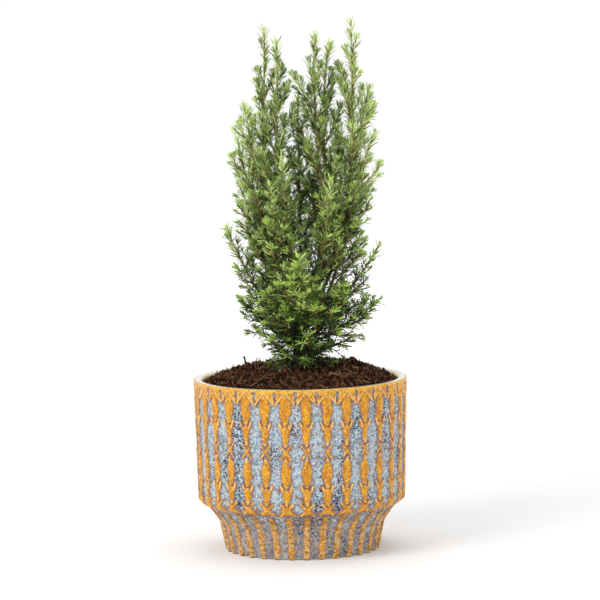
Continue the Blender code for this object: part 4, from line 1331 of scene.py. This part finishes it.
def shoot_places(leader):
    """Distances along a leader where shoots leave it: a step apart, wider in the spires.

    The steps passed are summed along the leader, and a shoot stands where the sum is whole.
    """
    fine = np.arange(leader.bare + SHOOT_FIRST, leader.length - SHOOT_LAST, SHOOT_MEASURE)
    if not leader.has_bough:
        return fine[::max(1, round(LOW_SHOOT_STEP / SHOOT_MEASURE))]
    heights = leader.points(fine)[:, 2]
    passed = np.cumsum(SHOOT_MEASURE / np.interp(heights, SHOOT_STEP_HEIGHTS, SHOOT_STEPS))
    return np.interp(np.arange(int(passed[-1]) + 1), passed, fine)


def first_shoots(leader, rng):
    """Shoots of a leader, each by the golden turn, and closer to the stem near its tip."""
    distances = shoot_places(leader)
    count = len(distances)
    room = leader.length - distances
    share = SHOOT_SHARE if leader.has_bough else LOW_SHOOT_SHARE
    lengths = np.minimum(SHOOT_LONGEST, SHOOT_SHORTEST + share * room)
    lengths = lengths * rng.uniform(0.75, 1.2, count)
    turns = rng.uniform(0.0, 2 * math.pi) + GOLDEN_TURN * np.arange(1, count + 1)
    roots, directions = leader.at(distances)
    angles = np.interp(distances / leader.length, SHOOT_CLOSING, (SHOOT_ANGLE, SHOOT_TIP_ANGLE))
    angles = np.maximum(angles, np.interp(roots[:, 2], DROOP_HEIGHTS, (DROOP_ANGLE, 0.0)))
    rise = np.interp(roots[:, 2], DROOP_HEIGHTS, (DROOP_RISE, SHOOT_RISE))
    paths = shoot_curves(roots, directions, turns, lengths, angles, rise)
    paths, lengths = cut_to_space(paths, leader)
    spurs = spurs_of(leader)
    if spurs:
        spurs = np.stack(spurs)
        paths = np.concatenate((paths, spurs))
        lengths = np.concatenate((lengths, curve_lengths(spurs)))
        turns = np.concatenate((turns, GOLDEN_TURN * np.arange(len(spurs))))
    keep = lengths > SHOOT_KEPT
    return paths[keep], lengths[keep], turns[keep]


def second_shoots(paths, lengths, turns, leader, rng):
    """Twigs of the longer shoots, by the same rule."""
    long_ones = np.flatnonzero(lengths > TWIG_PARENT)
    if not len(long_ones):
        return paths[:0], lengths[:0], turns[:0]
    starts = np.full(len(long_ones), TWIG_FROM)
    which, order, share = spread_along(lengths[long_ones], starts, TWIG_STEP)
    parent = long_ones[which]
    share = share * 0.9
    roots, directions = along_shoots(paths[parent], share)
    room = lengths[parent] * (1.0 - share)
    reach = (TWIG_SHORTEST + TWIG_SHARE * room) * rng.uniform(0.75, 1.25, len(parent))
    around = turns[parent] + 1.1 + GOLDEN_TURN * order
    angles = np.interp(roots[:, 2], TWIG_HEIGHTS, (SHOOT_ANGLE, SHOOT_TIP_ANGLE))
    rise = np.full(len(reach), SHOOT_RISE * 0.7)
    twigs = shoot_curves(roots, directions, around, reach, angles, rise)
    twigs, reach = cut_to_space(twigs, leader)
    keep = reach > TWIG_KEPT
    return twigs[keep], reach[keep], around[keep]


def make_twigs(grown):
    """Every shoot as a thin tube, brown on the first order and green on the second."""
    rows = (("side_shoots", "old_wood", 0.7, (92, 84, 42), (142, 128, 72), SHOOT_RADIUS),
            ("fine_twigs", "young_wood", 0.6, (100, 106, 40), (142, 152, 70), TWIG_RADIUS))
    for order, (name, wood, roughness, dark, light, base) in enumerate(rows, 1):
        pick = grown["order"] == order
        taper = np.linspace(1.0, 0.55, SHOOT_POINTS)
        stout = np.clip(grown["lengths"][pick] / 0.03, 0.6, 1.2)[:, None]
        points, faces = tubes(grown["paths"][pick], base * taper * stout, 5)
        material = grainy(wood, roughness, 900.0, dark, light, 0.0003)
        make_piece(name, points, faces, [material], FOLIAGE_NODES)


# Needles

def needle_material(name, colour):
    """Waxy needle skin of one green, with a fine grain in its gloss."""
    material, tree, shader = new_material(name, 0.42, Specular_IOR_Level=0.45)
    tree.feed(shader.inputs["Base Color"], colour)
    join(tree, shader, Roughness=tree.cloud(tree.place(), 900.0, 0.3, 0.7, 0.34, 0.55))
    return material


def needle_blades(roots, aims, ups, lengths, widths, arcs):
    """Flat needles: a point, two four-cornered sections and a point, arched along their length.

    The middle line is the root plus t times the length along the aim, less arc t^2 of the upper
    side's direction. A section's corners are left, top, right and bottom of that line.
    """
    broad = np.cross(aims, ups)
    thick = np.minimum(widths * 0.33, NEEDLE_THICKNESS)
    rows = [roots]
    for t, wide in ((0.18, 0.95), (0.80, 0.88)):
        middle = roots + aims * (lengths * t)[:, None] - ups * (arcs * lengths * t * t)[:, None]
        half = broad * (widths * wide / 2)[:, None]
        depth = ups * (thick * wide / 2)[:, None]
        rows.extend((middle - half, middle + depth, middle + half, middle - depth))
    rows.append(roots + aims * lengths[:, None] - ups * (arcs * lengths)[:, None])
    caps = np.concatenate((fan(1, 4, 0), fan(5, 4, 9, True)))
    quads = grid_faces(2, 4, 1)[:, [0, 3, 2, 1]]
    faces = [repeated(block, len(roots), len(rows)) for block in (caps, quads)]
    kinds = np.tile((0, 0, 1, 1), len(faces[0]) // 4 + len(faces[1]) // 4)
    return np.stack(rows, axis=1), faces, kinds


def make_needles(name, blades, sides):
    """Needles of one shade as joined pieces, upper side and underside each in its own colour."""
    materials = [needle_material(*side) for side in sides]
    total = len(blades["roots"])
    pieces = max(1, math.ceil(total / NEEDLES_PER_PIECE))
    for number, part in enumerate(np.array_split(np.arange(total), pieces)):
        points, faces, kinds = needle_blades(**pick_blades(blades, part))
        label = name if pieces == 1 else f"{name}_{number + 1}"
        make_piece(label, points, faces, materials, FOLIAGE_NODES, kinds, smooth=False)


def make_shade(shade, blades):
    """Needles of one row of a table of shades."""
    name, upper, under = shade
    make_needles(name, blades, ((f"{name}_upper", upper), (f"{name}_under", under)))


def grow():
    """Every shoot of the plant, with its order, and how far out and how high its tip stands."""
    rows = []
    for leader in LEADER_LIST:
        rng = np.random.default_rng(SEED + leader.index)
        first = first_shoots(leader, rng)
        second = second_shoots(*first, leader, rng)
        for order, shoots in ((1, first), (2, second)):
            count = len(shoots[0])
            rows.append((*shoots, np.full(count, order), np.full(count, leader.index)))
    keys = ("paths", "lengths", "turns", "order", "owner")
    grown = {key: np.concatenate(column) for key, column in zip(keys, zip(*rows))}
    tips = grown["paths"][:, -1]
    grown["outward"] = np.hypot(tips[:, 0] - CROWN_AXIS_X, tips[:, 1]) / crown_radius(tips[:, 2])
    return grown


def place_needles(roots, directions, around, shares, sizes, rng, angles=NEEDLE_ANGLES,
                  open_up=1.0):
    """Needles round their stems: the angle closes and the length falls towards the tip."""
    count = len(roots)
    flat = np.interp(roots[:, 2], NEEDLE_OPENING_HEIGHTS, NEEDLE_RANKINGS)
    flat = flat * clamped((1.0 - directions[:, 2] ** 2) * 4.0)
    around = around - flat * np.sin(2 * around)
    lean = np.interp(shares, (0.0, 0.6, 1.0), angles) + rng.normal(0.0, 0.08, count)
    lean = lean + np.interp(roots[:, 2], NEEDLE_OPENING_HEIGHTS, NEEDLE_OPENINGS) * open_up
    aims = unit(leaning(directions, around, lean))
    towards = unit(directions - aims * (directions * aims).sum(1, keepdims=True))
    roll = rng.normal(0.0, 0.35, count)
    across = np.cross(aims, towards)
    ups = np.cos(roll)[:, None] * towards + np.sin(roll)[:, None] * across
    profile = np.interp(shares, (0.0, 0.2, 0.75, 1.0), (0.72, 1.0, 0.95, 0.62))
    lengths = sizes * profile * rng.uniform(0.84, 1.12, count)
    widths = NEEDLE_WIDTH * rng.uniform(0.88, 1.12, count) * np.clip(sizes / NEEDLE_LENGTH, 0.7, 1)
    return {"roots": roots, "aims": aims, "ups": ups, "lengths": lengths, "widths": widths,
            "arcs": rng.normal(0.05, 0.07, count)}


def shoot_needles(grown, rng):
    """Needles along every shoot, shorter than the leaders' own, and the shoot of each."""
    starts = np.where(grown["order"] == 1, 0.10, 0.06)
    which, order, share = spread_along(grown["lengths"], starts, NEEDLE_STEP)
    roots, directions = along_shoots(grown["paths"][which], share)
    around = grown["turns"][which] + GOLDEN_TURN * order
    sizes = NEEDLE_LENGTH * np.interp(roots[:, 2], SIDE_NEEDLE_HEIGHTS, SIDE_NEEDLE_SIZES)
    sizes = sizes * np.where(grown["order"][which] == 1, 1.0, TWIG_NEEDLE_SHARE)
    return place_needles(roots, directions, around, share, sizes, rng), which, share


def stem_needles(rng):
    """Needles on the leaders' own stems, from above their foot to the tip."""
    sets, shares, owners = [], [], []
    for leader in LEADER_LIST:
        distances = np.arange(LEADER_END, leader.length - LEADER_END, STEM_NEEDLE_STEP)
        count = len(distances)
        roots, directions = leader.at(distances)
        near_tip = clamped(1.0 - (leader.length - distances) / 0.02)
        around = GOLDEN_TURN * np.arange(count)
        sizes = np.full(count, NEEDLE_LENGTH)
        sets.append(place_needles(roots, directions, around, near_tip, sizes, rng))
        shares.append((distances - LEADER_END) / (leader.length - LEADER_END))
        owners.append(np.full(count, leader.index))
    return join_blades(*sets), np.concatenate(shares), np.concatenate(owners)


def tuft_needles(paths, rng):
    """Small young needles in a rosette at the tip of every shoot."""
    count = len(paths)
    which = np.repeat(np.arange(count), TUFT_NEEDLES)
    order = np.tile(np.arange(TUFT_NEEDLES), count)
    share = order / TUFT_NEEDLES
    roots, directions = along_shoots(paths[which], 0.90 + 0.10 * share)
    around = GOLDEN_TURN * order + which * 1.7
    sizes = TUFT_LENGTH * rng.uniform(0.8, 1.2, count)[which]
    return place_needles(roots, directions, around, share, sizes, rng, TUFT_SPREAD, 0.4), which


def leader_tips():
    """Short end paths of the leaders, which carry a tuft each."""
    ends = []
    for leader in LEADER_LIST:
        distances = np.linspace(leader.length - TUFT_PATH, leader.length - LEADER_END, SHOOT_POINTS)
        ends.append(leader.points(distances))
    return np.stack(ends)


def pick_blades(blades, chosen):
    """The chosen needles of a set."""
    return {key: value[chosen] for key, value in blades.items()}


def join_blades(*sets):
    """Several sets of needles as one."""
    return {key: np.concatenate([item[key] for item in sets]) for key in sets[0]}


def off_soil(blades):
    """True where a needle's tip stays above the soil and below the top of the solids."""
    tips = blades["roots"] + blades["aims"] * blades["lengths"][:, None]
    ground = soil_height(tips[:, 0], tips[:, 1]) + 0.001
    return (tips[:, 2] > ground) & (tips[:, 2] < solid_box[1].z + 0.0005)


def deal_shades(outward, shares, heights, owners, rng):
    """Which green each needle takes: darker as painted shade inside and low in the crown, lighter as
    painted light outside and towards the top, darker at a shoot's foot, with a random spread.
    """
    tones = np.array([LEADER_PAINTED_LIGHT.get(leader.name, 0.0) for leader in LEADER_LIST])
    # Painted shade deep inside the crown and painted light at its outside, a random spread, and each
    # leader's painted light or shade.
    tone = outward * 2.8 - 0.55 + rng.normal(0.0, SHADE_SPREAD, len(shares)) + tones[owners]
    tone = tone + np.clip(shares - 0.35, -0.35, 0.4) * 1.1
    # Painted light towards the top of the crown, painted shade low in it.
    tone = tone + np.interp(heights, SHADE_HEIGHTS, SHADE_STEPS)
    return np.clip(np.round(tone), 0, len(SHADES) - 1).astype(int)


def make_foliage():
    """Shoots, needles in their greens, young tufts, bud scales and a few spent needles."""
    grown = grow()
    make_twigs(grown)
    rng = np.random.default_rng(SEED)
    on_shoots, which, share = shoot_needles(grown, rng)
    spray = rng.normal(0.0, 0.5, len(grown["paths"]))
    outward = grown["outward"][which] + spray[which] * 0.35
    shade = deal_shades(outward, share, on_shoots["roots"][:, 2], grown["owner"][which],
                        np.random.default_rng(SEED + 1))
    on_stems, stem_share, stem_owner = stem_needles(rng)
    reach = np.hypot(on_stems["roots"][:, 0] - CROWN_AXIS_X, on_stems["roots"][:, 1])
    # Needles near a leader's tip count as outer, for the painted light.
    stem_out = reach / crown_radius(on_stems["roots"][:, 2]) + (stem_share > 0.75) * 0.35
    stem_shade = deal_shades(stem_out, stem_share, on_stems["roots"][:, 2], stem_owner,
                             np.random.default_rng(SEED + 2))
    blades = join_blades(on_shoots, on_stems)
    shade = np.concatenate((shade, stem_shade))
    good = off_soil(blades)
    inner = np.concatenate((grown["outward"][which], stem_out)) < 0.8
    spent = good & inner & (rng.random(len(shade)) < SPENT_SHARE)
    blades["lengths"] = np.where(spent, blades["lengths"] * 0.6, blades["lengths"])
    good &= ~spent
    for number, row in enumerate(SHADES):
        make_shade(row, pick_blades(blades, good & (shade == number)))
    make_tufts(grown, rng)
    make_scales(grown, pick_blades(blades, spent), rng)


def make_tufts(grown, rng):
    """Rosettes of young needles: bright at the outer tips, and darker green as painted shade inside
    the crown and low down, and on one in five at random.
    """
    tufts, which = tuft_needles(grown["paths"], rng)
    ends, _ = tuft_needles(leader_tips(), rng)
    # Tufts inside the crown and low down take the shaded green as painted shade.
    bright = grown["outward"][which] + rng.normal(0.0, 0.15, len(grown["paths"]))[which] > 0.62
    both = join_blades(tufts, ends)
    bright = np.concatenate((bright, np.ones(len(ends["roots"]), bool)))
    bright &= rng.random(len(bright)) < 0.8
    bright &= both["roots"][:, 2] + rng.normal(0.0, 0.006, len(bright)) > BRIGHT_TUFTS_FROM
    good = off_soil(both)
    for pick, row in zip((bright, ~bright), TUFT_SHADES):
        make_shade(row, pick_blades(both, good & pick))


def make_scales(grown, spent, rng):
    """Orange-brown bud scales at the foot of some of the shoots, and the spent needles."""
    scaled = np.flatnonzero(rng.random(len(grown["paths"])) < SCALED_SHARE)
    which = np.repeat(scaled, 3)
    order = np.tile(np.arange(3), len(scaled))
    roots, directions = along_shoots(grown["paths"][which], 0.04 + 0.03 * order)
    sizes = np.full(len(which), SCALE_LENGTH)
    around = GOLDEN_TURN * order + which
    halfway = np.full(len(which), 0.5)
    scales = place_needles(roots, directions, around, halfway, sizes, rng, SCALE_SPREAD)
    make_needles("bud_scales", join_blades(scales, spent),
                 (("scale_outside", (216, 126, 76)), ("scale_inside", (168, 98, 58))))


# Stage

def studio_world():
    """White all round for the camera and in reflections, and a little dimmer as light."""
    world = bpy.data.worlds.new("studio")
    bpy.context.scene.world = world
    world.use_nodes = True
    tree = Tree(world.node_tree)
    background = world.node_tree.nodes["Background"].inputs
    background["Color"].default_value = (1.0, 1.0, 1.0, 1.0)
    rays = tree.add("ShaderNodeLightPath").outputs
    seen = tree.chain("MAXIMUM", (rays["Is Camera Ray"], rays["Is Glossy Ray"]))
    mirrored = tree.times(rays["Is Glossy Ray"], 0.15)
    tree.feed(background["Strength"], tree.minus(tree.spread(seen, 0.0, 1.0, 0.57, 1.0), mirrored))


def make_lights():
    """Soft square lights, all aimed at one point."""
    for name, place, size, power in LIGHTS:
        data = bpy.data.lights.new(name, "AREA")
        data.size = size
        data.energy = power
        light = add_object(name, data)
        light.location = place
        aim = Vector(LIGHT_TARGET) - Vector(place)
        light.rotation_euler = aim.to_track_quat("-Z", "Y").to_euler()


def make_floor():
    """A wide white floor, level with the pot's underside, that glows more with the distance."""
    mesh = bpy.data.meshes.new("studio_floor")
    corners = [(x * FLOOR_HALF, y * FLOOR_HALF, 0) for x, y in ((-1, -1), (1, -1), (1, 1), (-1, 1))]
    mesh.from_pydata(corners, [], [(0, 1, 2, 3)])
    material, tree, shader = new_material("white_paper", 0.9, Specular_IOR_Level=0.0)
    shader.inputs["Emission Color"].default_value = (1.0, 1.0, 1.0, 1.0)
    place = tree.place()
    paper = tree.blend(tree.noise(place, 3.0), (0.90, 0.90, 0.90, 1), (0.93, 0.93, 0.93, 1))
    away = tree.add("ShaderNodeVectorMath", {0: place}, operation="LENGTH").outputs["Value"]
    join(tree, shader, Base_Color=paper, Emission_Strength=tree.spread(away, 0.2, 2.2, 0.13, 0.50))
    mesh.materials.append(material)
    floor = add_object("studio_floor", mesh)


def make_camera():
    """A long lens in front of the plant, slightly above it and rolled a little."""
    data = bpy.data.cameras.new("camera")
    data.lens = CAMERA_LENS
    data.sensor_width = CAMERA_SENSOR
    data.clip_end = 100.0
    camera = add_object("camera", data)
    look = Matrix.Rotation(math.pi / 2 - CAMERA_PITCH, 4, "X") @ Matrix.Rotation(CAMERA_ROLL, 4, "Z")
    camera.matrix_world = Matrix.Translation(CAMERA_PLACE) @ look
    bpy.context.scene.camera = camera


def build():
    """Dress every node, then set the stage."""
    make_pot()
    rng = np.random.default_rng(SEED)
    make_soil()
    make_crumbs(rng)
    make_clods(np.random.default_rng(SEED + 3))
    make_fibres(rng)
    make_sticks()
    make_limbs()
    make_foliage()
    studio_world()
    make_floor()
    make_lights()
    make_camera()
    bpy.context.scene.view_settings.view_transform = "Standard"


build()
